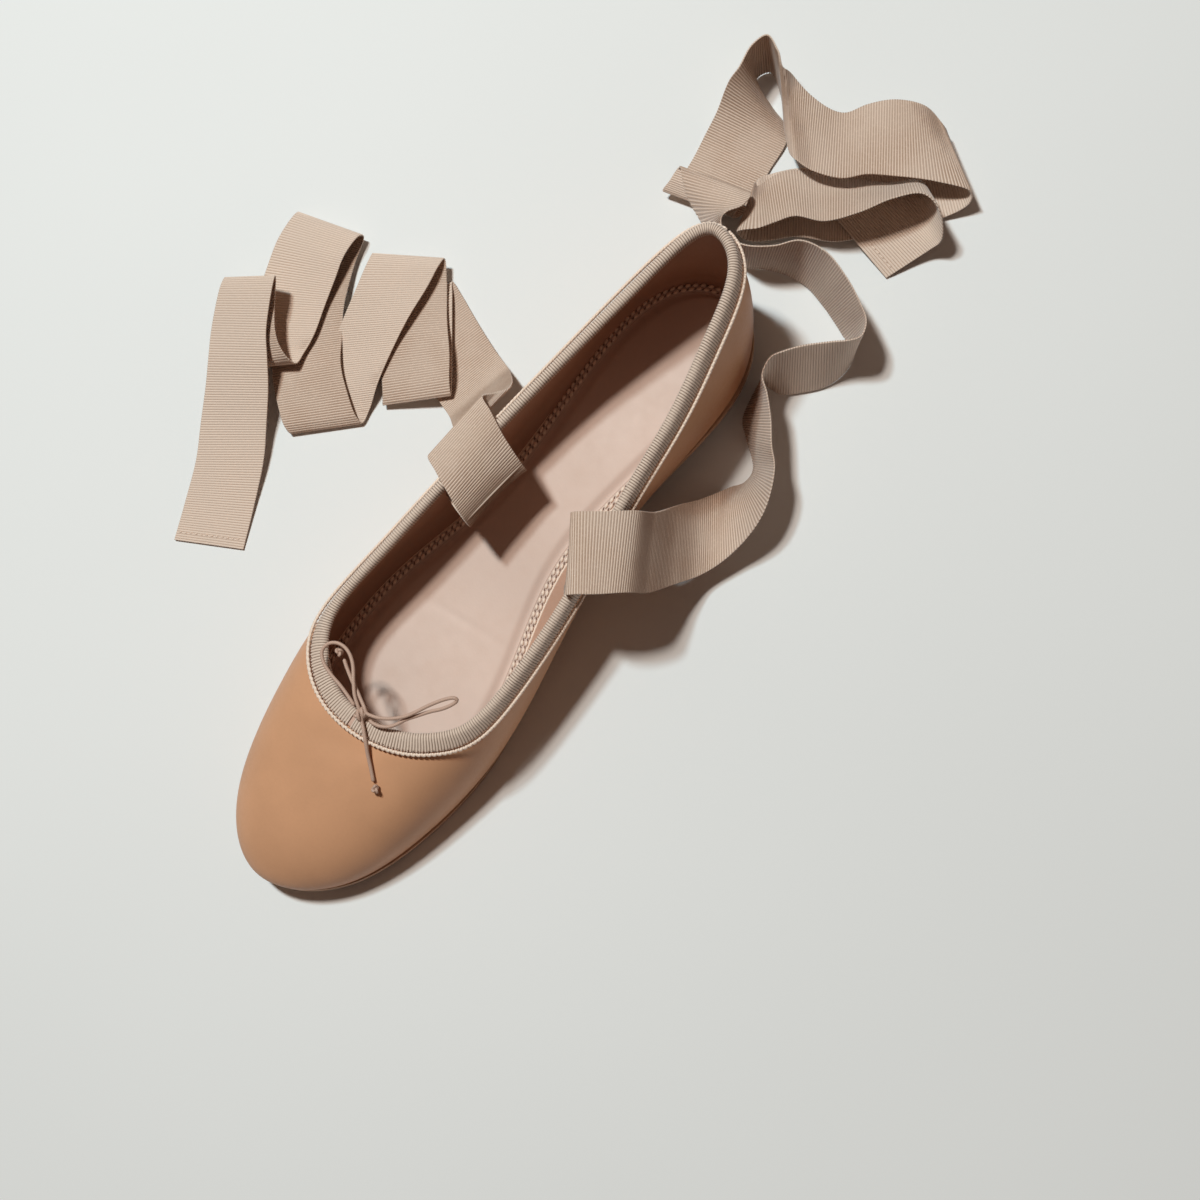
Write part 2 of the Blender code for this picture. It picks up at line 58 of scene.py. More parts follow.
# Driving sizes, in millimetres
HEEL_RISE = 8.0  # floor to the outsole's underside under the heel
TOE_SPRING = 6.5  # floor to the outsole's underside at the toe tip
TREAD_FRONT = -76.0  # the outsole is flat on the floor from here ...
TREAD_BACK = -28.0  # ... to here
TOE_TIP = -128.0
SPRING_CURVE = 1.7  # how late the toe spring turns up
BREAST = 60.0  # front face of the heel
SEAT_FRONT = 66.0  # the heel seat is level behind this line
OUTSOLE_THICK = 3.0
WALL = 1.5
GAP = 0.3
FEATHER_INSET = 0.9  # how far the upper's foot stands inside the outsole's edge
HEEL_INSET = 1.2
RIBBON_WIDTH = 25.0
CENTRE = (2.25, 4.03)  # moves the tables' frame to one centred on the shoe's outline

# One row for each section round the shoe, from the back of the heel by the inner side to the toe and back.
# foot_x, foot_y: where the wall meets the sole.  top_x, top_y, top_z: the collar edge.
# bulge, rise: how the wall leaves the sole.  reach, drop: how it arrives at the collar.
RING = (
    # foot_x, foot_y, top_x, top_y, top_z, bulge, rise, reach, drop
    (-3.5, 115.0, -3.6, 119.0, 60.4, 4.6, 15.0, 1.2, 16.0),
    (10.4, 107.6, 7.0, 111.8, 58.8, 3.8, 15.0, 3.0, 15.0),
    (18.6, 91.0, 12.8, 92.0, 53.4, 3.4, 13.0, 4.4, 12.0),
    (19.0, 67.0, 17.6, 69.0, 48.0, 4.6, 7.5, 3.4, 11.0),
    (16.4, 40.0, 21.0, 42.0, 43.4, 6.6, 6.8, 1.8, 10.0),
    (15.6, 10.0, 25.8, 10.0, 39.8, 10.2, 5.5, 1.8, 10.0),
    (23.8, -20.0, 28.4, -19.0, 37.0, 9.3, 5.9, 2.8, 9.0),
    (31.8, -52.0, 27.6, -41.0, 35.8, 5.1, 7.5, 5.4, 7.0),
    (29.8, -86.0, 21.0, -52.8, 36.3, 3.4, 11.0, 13.0, 5.5),
    (19.6, -113.8, 10.6, -60.5, 37.2, 3.4, 12.0, 23.0, 5.0),
    (-2.4, -127.4, -3.2, -63.9, 37.6, 3.6, 13.0, 28.0, 5.0),
    (-23.4, -114.0, -15.6, -62.2, 37.3, 3.4, 12.0, 22.0, 5.0),
    (-33.0, -86.0, -25.6, -55.8, 36.4, 3.4, 11.0, 12.5, 5.5),
    (-37.4, -52.0, -32.2, -42.8, 35.8, 3.4, 10.0, 3.6, 7.0),
    (-35.6, -20.0, -31.3, -19.0, 37.0, 3.6, 10.0, 2.4, 9.0),
    (-30.4, 10.0, -28.8, 10.0, 39.8, 3.8, 10.0, 2.2, 10.0),
    (-27.2, 40.0, -25.0, 42.0, 43.4, 3.6, 10.0, 2.4, 10.0),
    (-26.2, 67.0, -20.8, 69.0, 48.0, 3.4, 12.0, 3.4, 11.0),
    (-24.6, 91.0, -16.6, 92.0, 53.4, 3.6, 13.0, 4.4, 12.0),
    (-17.2, 107.6, -11.6, 113.0, 59.2, 4.0, 15.0, 2.6, 15.0),
)

# The ties: one row for each place where the ribbon turns, from its sewn end to its hemmed end.
# x, y, z: the ribbon's middle.  across: plan heading of the line from its first selvedge to its second.
# tilt: how far that line climbs, so 0 lies flat and 90 stands on edge.
TIE_LATERAL = (
    # x, y, z, across, tilt
    (-27.9, 19, 22, 84, 0),
    (-27.8, 19, 27, 84, 0),
    (-25.2, 18.4, 31, 84, 0),
    (-20, 17.2, 33, 84, 0),
    (-15.4, 16.2, 33, 84, 0),
    (-13, 16, 34.8, 84, 0),
    (-14.4, 16.6, 38.4, 85, 0),
    (-17.8, 18, 42.4, 87, 0),
    (-21.6, 19.6, 45, 89, 0),
    (-25.6, 21.3, 46.4, 88, 0),
    (-30, 23, 46, 87, 0),
    (-35.5, 25, 43.5, 87, 0),
    (-34.5, 28, 40, 87, 0),
    (-33, 32, 37.5, 85, 0),
    (-34.5, 34, 34, 84, 0),
    (-38, 35.5, 27, 83, 0),
    (-43, 37, 18, 80, 0),
    (-49, 38.5, 8, 78, 0),
    (-56, 40, 3.6, 77, 0),
    (-63, 42, 2.2, 75, 0),
    (-72, 45, 1.4, 74, 0),
    (-83, 49, 1.0, 70, 0),
    (-87.5, 50.3, 1.8, 67, 0),
    (-85, 47, 3.2, 61, 0),
    (-76, 36, 4.0, 51, 2),
    (-68, 27, 4.0, 46, 8),
    (-64.8, 23.5, 5.4, 43, 10),
    (-67, 26.5, 7.4, 43, 13),
    (-74, 34, 7.2, 42, 9),
    (-83, 42, 6.2, 41, 1),
    (-93, 53, 5.0, 36, 0),
    (-98.5, 59, 6.4, 33, 0),
    (-97.5, 56, 8.6, 34, 2),
    (-95, 47, 9.2, 38, 3),
    (-93, 36, 8.2, 38, 11),
    (-91, 25, 5.8, 39, 14),
    (-88, 12, 3.8, 42, 12),
    (-85.5, 2, 1.6, 45, 3),
    (-84.5, -3, 2.0, 46, 0),
    (-87, -2.5, 4.4, 46, 0),
    (-94, 2, 5.8, 46, 4),
    (-102, 8, 5.4, 45, 6),
    (-109, 16, 3.8, 43, 6),
    (-116, 25, 3.2, 40, 6),
    (-124, 39, 2.6, 28, 2),
    (-128.5, 51, 4.2, 18, 0),
    (-128.5, 50, 6.6, 18, 3),
    (-127, 41, 8.6, 23, 3),
    (-124, 31, 7.6, 28, 2),
    (-121, 22, 6.8, 33, 2),
    (-117, 11.5, 6.6, 36, 3),
    (-115, 4, 6.2, 40, 6),
    (-113.8, -0.5, 7.2, 40, 11),
    (-115, -0.5, 9.6, 40, 19),
    (-119, 2, 11, 36, 26),
    (-124, 6, 11, 32, 28),
    (-131, 14, 11, 31, 28),
    (-134.5, 19, 11.8, 30, 28),
    (-134.8, 20, 14, 30, 27),
    (-133, 17, 15.6, 30, 25),
    (-126, 4, 14, 30, 22),
    (-121, -3, 12.6, 32, 18),
    (-116, -11, 9.4, 34, 13),
    (-110, -22, 5.4, 36, 8),
    (-104, -32, 3.2, 37, 5),
    (-97.5, -46, 1.4, 34, 2),
    (-91.5, -59, 0.8, 31, 0),
)

TIE_MEDIAL = (
    # x, y, z, across, tilt
    (21.0, 21, 21, -82, 0),
    (21.8, 21, 28, -82, 0),
    (19.2, 21, 35.5, -79, 0),
    (19.0, 18.5, 42, -66, 0),
    (18.5, 17, 46, -54, 0),
    (20.5, 18.5, 48.4, -51, 0),
    (26, 23, 48, -54, 0),
    (32, 29, 44, -57, 0),
    (35, 33, 33, -55, 0),
    (37, 40, 20, -53, 0),
    (40, 48, 9.4, -51, 6),
    (43, 57, 7, -44, 25),
    (45, 67, 10.9, -21, 52),
    (42, 76, 12.4, 5, 66),
    (35, 82, 12.2, 6, 62),
    (30, 87, 12.0, 15, 62),
    (26, 93, 12.6, 12, 71),
    (23, 98.5, 13.2, -10, 82),
    (24, 101, 13.2, 100, 80),
    (27, 103.5, 12.8, 113, 70),
    (31, 108, 12.6, 117, 67),
    (37, 115, 12.8, 117, 71),
    (40, 121, 13.2, 95, 82),
    (40, 125, 13.2, 30, 82),
    (37, 128, 12.9, 40, 74),
    (31, 131, 12.7, 40, 70),
    (23, 134, 12.7, 50, 69),
    (14, 136, 12.7, 66, 70),
    (6, 134.5, 12.9, 70, 73),
    (0, 130, 13.0, 40, 79),
    (-7, 125.5, 13.2, 25, 83),
    (-14, 125, 13.3, 14, 82),
    (-20, 127, 13.8, 13, 74),
    (-23, 129.5, 15.2, 13, 60),
    (-25.5, 133.5, 16.8, 14, 30),
    (-29, 138.5, 15.6, 15, 4),
    (-31, 139, 12.2, 16, 2),
    (-31.5, 134.5, 8.8, 16, 0),
    (-32.5, 131.5, 5, 16, 0),
    (-31.5, 134, 1.6, 15, 0),
    (-32, 143, 1.0, 14, 0),
    (-34, 153, 1, 12, 0),
    (-35, 163, 4.6, 13, -16),
    (-37, 168, 8.9, 12, -40),
    (-39.5, 171, 12.1, 10, -66),
    (-45, 177, 13.2, -83, -85),
    (-43, 182, 13.6, -75, -85),
    (-36, 179, 13.8, -57, -78),
    (-28, 172, 14.5, -52, -50),
    (-22, 170, 14, -53, -6),
    (-13, 170, 12.5, -55, 12),
    (-5, 173, 11.5, -52, 16),
    (0, 179, 12, -52, 10),
    (7, 184, 13.5, -52, 0),
    (17, 189, 13.6, -44, 0),
    (25.5, 191, 11.5, -30, 3),
    (27.5, 190, 6.0, -34, 3),
    (24, 184, 1.8, -39, 2),
    (15, 173, 1.3, -47, 2),
    (4, 159, 2.2, -52, 5),
    (-7, 151, 4.4, -50, 12),
    (-13, 144, 5.4, -50, 15),
    (-16, 140.5, 6.8, -58, 20),
    (-17.4, 139.3, 9.4, -64, 31),
    (-16, 139.5, 12.4, -56, 36),
    (-13.5, 140.5, 13.6, -46, 40),
    (-11.5, 145.2, 12.5, -41, 38),
    (-8, 151, 12, -43, 36),
    (1, 156, 11.5, -48, 36),
    (10, 163, 12.5, -49, 48),
    (17.5, 170, 14.4, -48, 60),
    (24, 176, 15.2, -41, 60),
    (28, 176, 13.5, -34, 52),
    (28.5, 172, 8.4, -22, 22),
    (25, 166, 5.6, -10, 2),
    (19, 152, 2.6, -11, -9),
)

# The bow: each cord's route from the knot, as x, y, z.
KNOT = (-1.6, -61.6, 40.5)
LOOP_LATERAL = (
    (-4.7, -61.1, 40.9),
    (-7.8, -60.2, 41.2),
    (-12.1, -59.2, 41.3),
    (-17.1, -58.4, 41.5),
    (-21.4, -56.9, 41.7),
    (-23.7, -54.6, 41.9),
    (-23.4, -51.7, 42.2),
    (-21.4, -49.8, 42.4),
    (-18.7, -49.2, 42.4),
    (-16.0, -49.8, 42.4),
    (-13.0, -51.7, 42.4),
    (-9.4, -55.5, 42.4),
    (-6.6, -58.3, 42.2),
    (-3.8, -60.2, 41.8),
)
LOOP_MEDIAL = (
    (1.4, -61.5, 40.6),
    (3.4, -61.4, 40.6),
    (5.5, -60.7, 40.7),
    (7.6, -59.2, 40.8),
    (9.2, -57.0, 41.0),
    (10.5, -54.1, 41.3),
    (13.1, -50.1, 41.6),
    (15.1, -47.1, 41.9),
    (17.5, -44.1, 42.3),
    (19.0, -41.5, 42.6),
    (19.7, -39.5, 42.9),
    (19.5, -38.7, 43.3),
    (18.5, -39.0, 43.6),
    (17.1, -40.5, 43.6),
    (15.3, -43.3, 43.6),
    (13.6, -46.5, 43.4),
    (12.0, -49.9, 43.1),
    (10.4, -52.8, 42.8),
    (7.5, -56.1, 42.4),
    (4.2, -58.6, 42.0),
    (1.4, -59.9, 41.6),
)
TAIL_INNER = (
    (-1.8, -59.3, 41.9),
    (-4.3, -58.3, 41.3),
    (-6.8, -57.2, 41.0),
    (-9.3, -56.3, 40.8),
    (-11.6, -55.2, 40.8),
    (-14.4, -53.7, 41.0),
    (-16.9, -52.2, 41.2),
)
TAIL_FRONT = (
    (0.2, -63.5, 40.2),
    (2.3, -65.2, 40.0),
    (4.8, -67.5, 39.3),
    (7.2, -70.0, 37.9),
    (10.2, -72.8, 36.2),
    (13.6, -76.0, 34.7),
)
END_KNOT_INNER = (-19.3, -51.6, 41.3)
END_KNOT_FRONT = (15.4, -77.3, 34.5)

# The collar tape, outer face: depth below the collar edge, distance off the wall's outer face
TAPE_OUTSIDE = ((3.9, 0.45), (3.75, 0.8), (3.4, 0.95), (2.8, 0.98), (2.1, 0.98), (1.3, 0.96), (0.5, 0.94))
TAPE_INSIDE = ((0.5, -2.42), (1.2, -2.45), (1.9, -2.4), (2.4, -2.25), (2.6, -2.0))
TAPE_HALF = 1.68  # half the thickness of the bound edge
TAPE_CROWN = 1.95  # how far it stands over the collar edge
TAPE_GAP = 1.4  # between the tape's two ends under the bow

# The heel from the floor up: how far each layer rises, and how far its face then draws in
HEEL_LAYERS = ((2.3, 0.0), (0.05, 0.25), (0.15, 0.0), (0.05, -0.25), (2.4, 0.0), (0.03, 0.14), (0.08, 0.0),
               (0.03, -0.14), (2.4, 0.1), (0.2, 0.0))

# Soft creases and ridges: x, y, heading, half length, half width, height
VAMP_MARKS = (
    (-2.0, -74.0, 20.0, 14.0, 3.0, -0.25),
    (10.0, -70.0, 60.0, 10.0, 2.4, 0.18),
)
SOCK_MARKS = (
    (-6.0, -30.0, 15.0, 14.0, 3.0, -0.1),
    (2.0, -40.0, 25.0, 12.0, 2.6, 0.1),
    (-3.6, -22.3, 8.0, 15.0, 0.9, -0.22),
    (-7.5, -47.5, 60.0, 2.2, 1.5, 0.15),
    (-4.6, -45.5, 20.0, 1.8, 0.8, -0.1),
)

# The footbed: height of its margin over the outsole's underside, where the lining curves in, the sock's loft,
# and how far in from the wall the seam runs beside each row of RING
MARGIN_HEIGHT = 6.4
COVE_HEIGHT = 11.0
SOCK_LOFT = 1.1
SEAM_INSET = (
    *(4.0, 4.0, 4.5, 5.5, 6.8, 8.3, 8.0, 7.5, 7.0, 7.0),
    *(7.0, 7.0, 7.0, 6.5, 6.0, 7.5, 6.0, 3.5, 3.0, 3.5),
)

# How far the middle of a ribbon draws in at a fold: row of its table, millimetres
LATERAL_CUPS = ((0, 0.0), (3, 0.0), (4, 0.6), (5, 1.0), (6, 0.5), (7, 0.0))
MEDIAL_CUPS = ((0, 0.0), (3, 0.0))
ROW_STEPS = 40

# Thickness of the leather, of its lining and of the sock, in millimetres
LEATHER_THICK = 0.75
LINING_THICK = 0.65
SOCK_THICK = 1.6

# Fineness: the wall's columns for each row of RING and its rows, and the steps across the sock and the outsole
WALL_FINENESS = (24, 46)
SOCK_STEPS = 48
OUTSOLE_STEPS = 24
MERGE_REACH = 2e-5  # metres

# The strip the footbed's seam is sewn through: how far in from the seam, and its height over the margin
SEAM_BAND = ((0.6, -0.3), (0.1, 0.3), (-1.2, 0.42), (-2.3, 0.3), (-2.8, -0.2))
KNOT_HEADING = (0.35, 0.94, 0.0)

# Camera and lights, in metres
CAMERA_PLACE = (0.14715, 0.02963, 0.5723)
CAMERA_RIGHT = (0.75415804, 0.63326731, -0.17383376)
CAMERA_UP = (-0.62401012, 0.77353045, 0.11073396)
CAMERA_BACK = (0.2045899, 0.02496312, 0.97852941)
KEY_PLACE = (-0.494, 0.17, 1.30)
KEY_SIZE = 0.10
SECOND_PLACE = (-0.379, 0.176, 1.34)
SECOND_SIZE = 0.12


def colour(name, text, default):
    return FloatVectorProperty(
        name=name, description=text, subtype="COLOR", size=3, min=0.0, max=1.0, default=default
    )


def length(name, text, default):
    return FloatProperty(name=name, description=text, default=default, min=0.0, unit="LENGTH", precision=5)


class FlatSizes(bpy.types.PropertyGroup):
    rib_pitch: length("Rib pitch", "Distance from one grosgrain rib to the next", 0.85 * MM)
    rib_height: length("Rib height", "How far a grosgrain rib stands up", 0.15 * MM)
    thread: length("Thread", "Width of a sewing stitch", 0.8 * MM)
    zigzag_step: length("Zigzag step", "Length of one zigzag stitch along the tape", 1.6 * MM)
    seam_step: length("Seam step", "Length of one stitch of the seam round the footbed", 2.5 * MM)
    cord: length("Bow cord", "Diameter of the bow's cord", 1.15 * MM)


class FlatColours(bpy.types.PropertyGroup):
    leather: colour("Leather", "The smooth tan upper", (0.60, 0.31, 0.172))
    lining: colour("Lining", "Inside of the upper", (0.43, 0.235, 0.155))
    sock: colour("Sock", "The blush footbed cover", (0.63, 0.465, 0.39))
    ribbon: colour("Grosgrain", "Tops of the ribs of tape and ribbons", (0.70, 0.545, 0.445))
    # Painted shade: the grosgrain's grooves are darkened towards this colour.
    groove_shade: colour("Grosgrain groove", "Between the ribs", (0.20, 0.125, 0.085))
    cord: colour("Cord", "The waxed cord of the bow", (0.52, 0.34, 0.26))
    thread: colour("Thread", "The sewing thread", (0.90, 0.71, 0.58))
    # Painted shade: dark beads in this colour stand for the shade inside the needle holes.
    hole_shade_colour: colour("Needle holes", "The dark pricks between the stitches", (0.20, 0.11, 0.075))
    sole: colour("Sole", "The leather outsole", (0.50, 0.30, 0.19))
    # The heel's near-black brown is partly the stain of its lifts and partly painted shade of the dark gap under
    # the upper.
    heel: colour("Heel", "The stacked heel", (0.085, 0.04, 0.024))


class FlatStage(bpy.types.PropertyGroup):
    floor: colour("Floor", "The plain floor", (0.755, 0.745, 0.735))
    key: FloatProperty(name="Key", description="Power of the lower soft light", default=8.8, unit="POWER")
    second: FloatProperty(
        name="Second key",
        description="Power of the light over the shoe",
        default=10.2,
        unit="POWER",
    )
    sky: colour("Sky", "The even warm light from all round", (0.11, 0.072, 0.054))


def sizes():
    return bpy.context.scene.flat_sizes


def colours():
    return bpy.context.scene.flat_colours


# ---------------------------------------------------------------- the shoe's own curves


def smooth_ring(rows, per_row):
    """Values between the rows of a closed table, by the periodic cubic spline through them."""
    rows = np.array(rows, float)
    count = len(rows)
    system = 4 * np.eye(count) + np.roll(np.eye(count), 1, 0) + np.roll(np.eye(count), -1, 0)
    bend = np.linalg.solve(system, 6 * (np.roll(rows, -1, 0) - 2 * rows + np.roll(rows, 1, 0)))
    after, bend_after = np.roll(rows, -1, 0), np.roll(bend, -1, 0)
    out = []
    for index in range(count):
        for step in range(per_row):
            t = step / per_row
            out.append(
                (1 - t) * rows[index]
                + t * after[index]
                + ((1 - t) ** 3 - (1 - t)) * bend[index] / 6
                + (t**3 - t) * bend_after[index] / 6
            )
    return np.array(out)


def smooth_line(rows, steps, columns=3):
    """An open cubic through the rows, spaced by the root of their distance; steps of it for each row."""
    rows = np.array(rows, float)
    gaps = np.linalg.norm(np.diff(rows[:, :columns], axis=0), axis=1)
    at = np.concatenate([[0.0], np.cumsum(np.sqrt(gaps))])
    slope = np.gradient(rows, at, axis=0)
    out = []
    for index in range(len(rows) - 1):
        span = at[index + 1] - at[index]
        for step in range(steps):
            t = step / steps
            out.append(
                (2 * t**3 - 3 * t**2 + 1) * rows[index]
                + (t**3 - 2 * t**2 + t) * span * slope[index]
                + (3 * t**2 - 2 * t**3) * rows[index + 1]
                + (t**3 - t**2) * span * slope[index + 1]
            )
    out.append(rows[-1])
    return np.array(out)


def run_of(line):
    """Distance along a line at each of its points."""
    return np.concatenate([[0.0], np.cumsum(np.linalg.norm(np.diff(line[:, :3], axis=0), axis=1))])


def resample(line, places, at):
    """The line's columns at these distances along it, where places gives the distance of each point."""
    return np.stack([np.interp(at, places, line[:, axis]) for axis in range(line.shape[1])], 1)


def even_points(line, spacing):
    """Points along a line at equal distances, near the spacing asked for."""
    run = run_of(line)
    count = max(2, round(run[-1] / spacing) + 1)
    return resample(line, run, np.linspace(0.0, run[-1], count))


def unit(vectors):
    return vectors / np.maximum(np.linalg.norm(vectors, axis=-1, keepdims=True), 1e-9)


def ease(t):
    t = np.clip(t, 0.0, 1.0)
    return t * t * (3 - 2 * t)


def underside(y):
    """Height of the outsole's underside: level seat, arch, tread on the floor, toe spring."""
    arch = HEEL_RISE * ease((y - TREAD_BACK) / (SEAT_FRONT - TREAD_BACK))
    spring = TOE_SPRING * (np.clip((TREAD_FRONT - y) / (TREAD_FRONT - TOE_TIP), 0, None)) ** SPRING_CURVE
    return arch + spring


def ring_normals(points):
    """Outward plan normals of a closed loop that runs clockwise seen from above."""
    along = np.roll(points, -1, 0) - np.roll(points, 1, 0)
    return unit(np.stack([-along[:, 1], along[:, 0]], 1))


class Wall:
    """The upper's outer face: a grid [column, row], its outward normals, and each row's depth below the collar."""

    def __init__(self, per_row, rows):
        columns = smooth_ring(RING, per_row)
        foot, top = columns[:, 0:2], columns[:, 2:5]
        foot_out, top_out = ring_normals(foot), ring_normals(top[:, :2])
        bulge, rise, reach, drop = (columns[:, i : i + 1] for i in (5, 6, 7, 8))
        foot_z = underside(foot[:, 1:2]) + OUTSOLE_THICK + GAP
        start = np.hstack([foot, foot_z])
        leave = np.hstack([foot + foot_out * bulge, foot_z + rise])
        arrive = np.hstack([top[:, :2] + top_out * reach, top[:, 2:3] - drop])
        grid = []
        for t in np.linspace(0, 1, rows):
            near = (1 - t) ** 3 * start + 3 * t * (1 - t) ** 2 * leave
            grid.append(near + 3 * t * t * (1 - t) * arrive + t**3 * top)
        self.grid = np.stack(grid, 1)
        self.foot_out = foot_out
        self.normals = grid_normals(self.grid)
        runs = np.linalg.norm(np.diff(self.grid[:, ::-1], axis=1), axis=2)
        self.depths = np.hstack([np.zeros((len(self.grid), 1)), np.cumsum(runs, axis=1)])

    def at(self, depth, off):
        """The point this far below the collar in each column, moved off the outer face by off."""
        depth = np.broadcast_to(depth, len(self.grid))
        rows = zip(self.grid[:, ::-1], self.normals[:, ::-1], self.depths, depth)
        found = []
        for column, normal, below, wanted in rows:
            moved = column + normal * off
            found.append([np.interp(wanted, below, moved[:, axis]) for axis in range(3)])
        return np.array(found)

    def inner_at_height(self, height, off):
        """The inner face at this height above the underside, in each column."""
        found = []
        for column, normal in zip(self.grid, self.normals):
            moved = column + normal * off
            above = moved[:, 2] - underside(moved[:, 1])
            found.append([np.interp(height, above, moved[:, axis]) for axis in range(3)])
        return np.array(found)


def seam_ring(wall, inward):
    """The footbed's seam, moved this far in from it: points round the shoe on the margin, as x, y, z."""
    foot = wall.inner_at_height(MARGIN_HEIGHT, -WALL)
    per_row = len(foot) // len(RING)
    inset = smooth_ring([[value] for value in SEAM_INSET], per_row)
    line = foot[:, :2] - ring_normals(foot[:, :2]) * (inset + inward)
    return np.concatenate([line, underside(line[:, 1:2]) + MARGIN_HEIGHT], 1)


def grid_normals(grid):
    along = np.roll(grid, -1, 0) - np.roll(grid, 1, 0)
    up = np.gradient(grid, axis=1)
    return unit(np.cross(up, along))


# ---------------------------------------------------------------- mesh helpers


def to_frame(points):
    """Table millimetres to the frame's metres."""
    return (np.asarray(points, float) + np.array([CENTRE[0], CENTRE[1], 0.0])) * MM


def laid_grid(places, along, across, closed=False, flip=False):
    """A bmesh grid laid through places[column, row], with its UVs in millimetres along and across."""
    columns, rows = places.shape[:2]
    spots = to_frame(places)
    form = bmesh.new()
    layer = form.loops.layers.uv.new("UVMap")
    bmesh.ops.create_grid(form, x_segments=columns - 1, y_segments=rows - 1, size=0.5)
    slots = {}
    for vert in form.verts:
        slots[vert] = (round((vert.co.x + 0.5) * (columns - 1)), round((vert.co.y + 0.5) * (rows - 1)))
    for face in form.faces:
        for loop in face.loops:
            column, row = slots[loop.vert]
            loop[layer].uv = (along[column], across[row])
    for vert, (column, row) in slots.items():
        vert.co = spots[column, row]
    if closed:
        bmesh.ops.remove_doubles(form, verts=form.verts, dist=1e-6)
    if flip:
        bmesh.ops.reverse_faces(form, faces=form.faces)
    return form


def close_ring(values):
    return np.concatenate([values, values[:1]])


def finished(name, form, materials, shade=50):
    """The bmesh as a smooth object that rides on the shoe's one body."""
    mesh = bpy.data.meshes.new(name)
    form.to_mesh(mesh)
    form.free()
    mesh.shade_smooth()
    mesh.set_sharp_from_angle(angle=math.radians(shade))
    made = bpy.data.objects.new(name, mesh)
    for material in materials:
        mesh.materials.append(material)
    bpy.context.scene.collection.objects.link(made)
    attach(made, "root")
    return made


def thicken(obj, thickness, offset=-1):
    shell = obj.modifiers.new("Wall", "SOLIDIFY")
    shell.thickness = thickness * MM
    shell.offset = offset
    return shell


def frames_along(path):
    """Two side directions at each point of a path, carried along without twist."""
    ahead = unit(np.gradient(path, axis=0))
    side = np.cross(ahead[0], (0.0, 0.0, 1.0))
    if np.linalg.norm(side) < 0.1:
        side = np.cross(ahead[0], (1.0, 0.0, 0.0))
    sides = []
    for direction in ahead:
        side = side - direction * np.dot(side, direction)
        side = side / np.linalg.norm(side)
        sides.append(side)
    sides = np.array(sides)
    return sides, np.cross(ahead, sides)


def tube(path, diameter, around=12, closed=False):
    """A round cord along a path, its ends drawn in to a dome."""
    side, rise = frames_along(path)
    radius = np.full(len(path), diameter / 2)
    if not closed:
        run = run_of(path)
        for distance in (run, run[-1] - run):
            inside = np.clip(1 - distance / (diameter / 2), 0, 1)
            radius = np.minimum(radius, diameter / 2 * np.sqrt(np.clip(1 - inside**2, 0.002, 1)))
    turns = np.linspace(0, 2 * math.pi, around + 1)
    ring = np.cos(turns)[None, :, None] * side[:, None] + np.sin(turns)[None, :, None] * rise[:, None]
    places = path[:, None] + ring * radius[:, None, None]
    form = laid_grid(places, run_of(path), turns / (2 * math.pi) * math.pi * diameter, closed=True)
    holes = [edge for edge in form.edges if edge.is_boundary]
    if holes:
        bmesh.ops.holes_fill(form, edges=holes, sides=0)
    bmesh.ops.recalc_face_normals(form, faces=form.faces)
    return form


# ---------------------------------------------------------------- materials


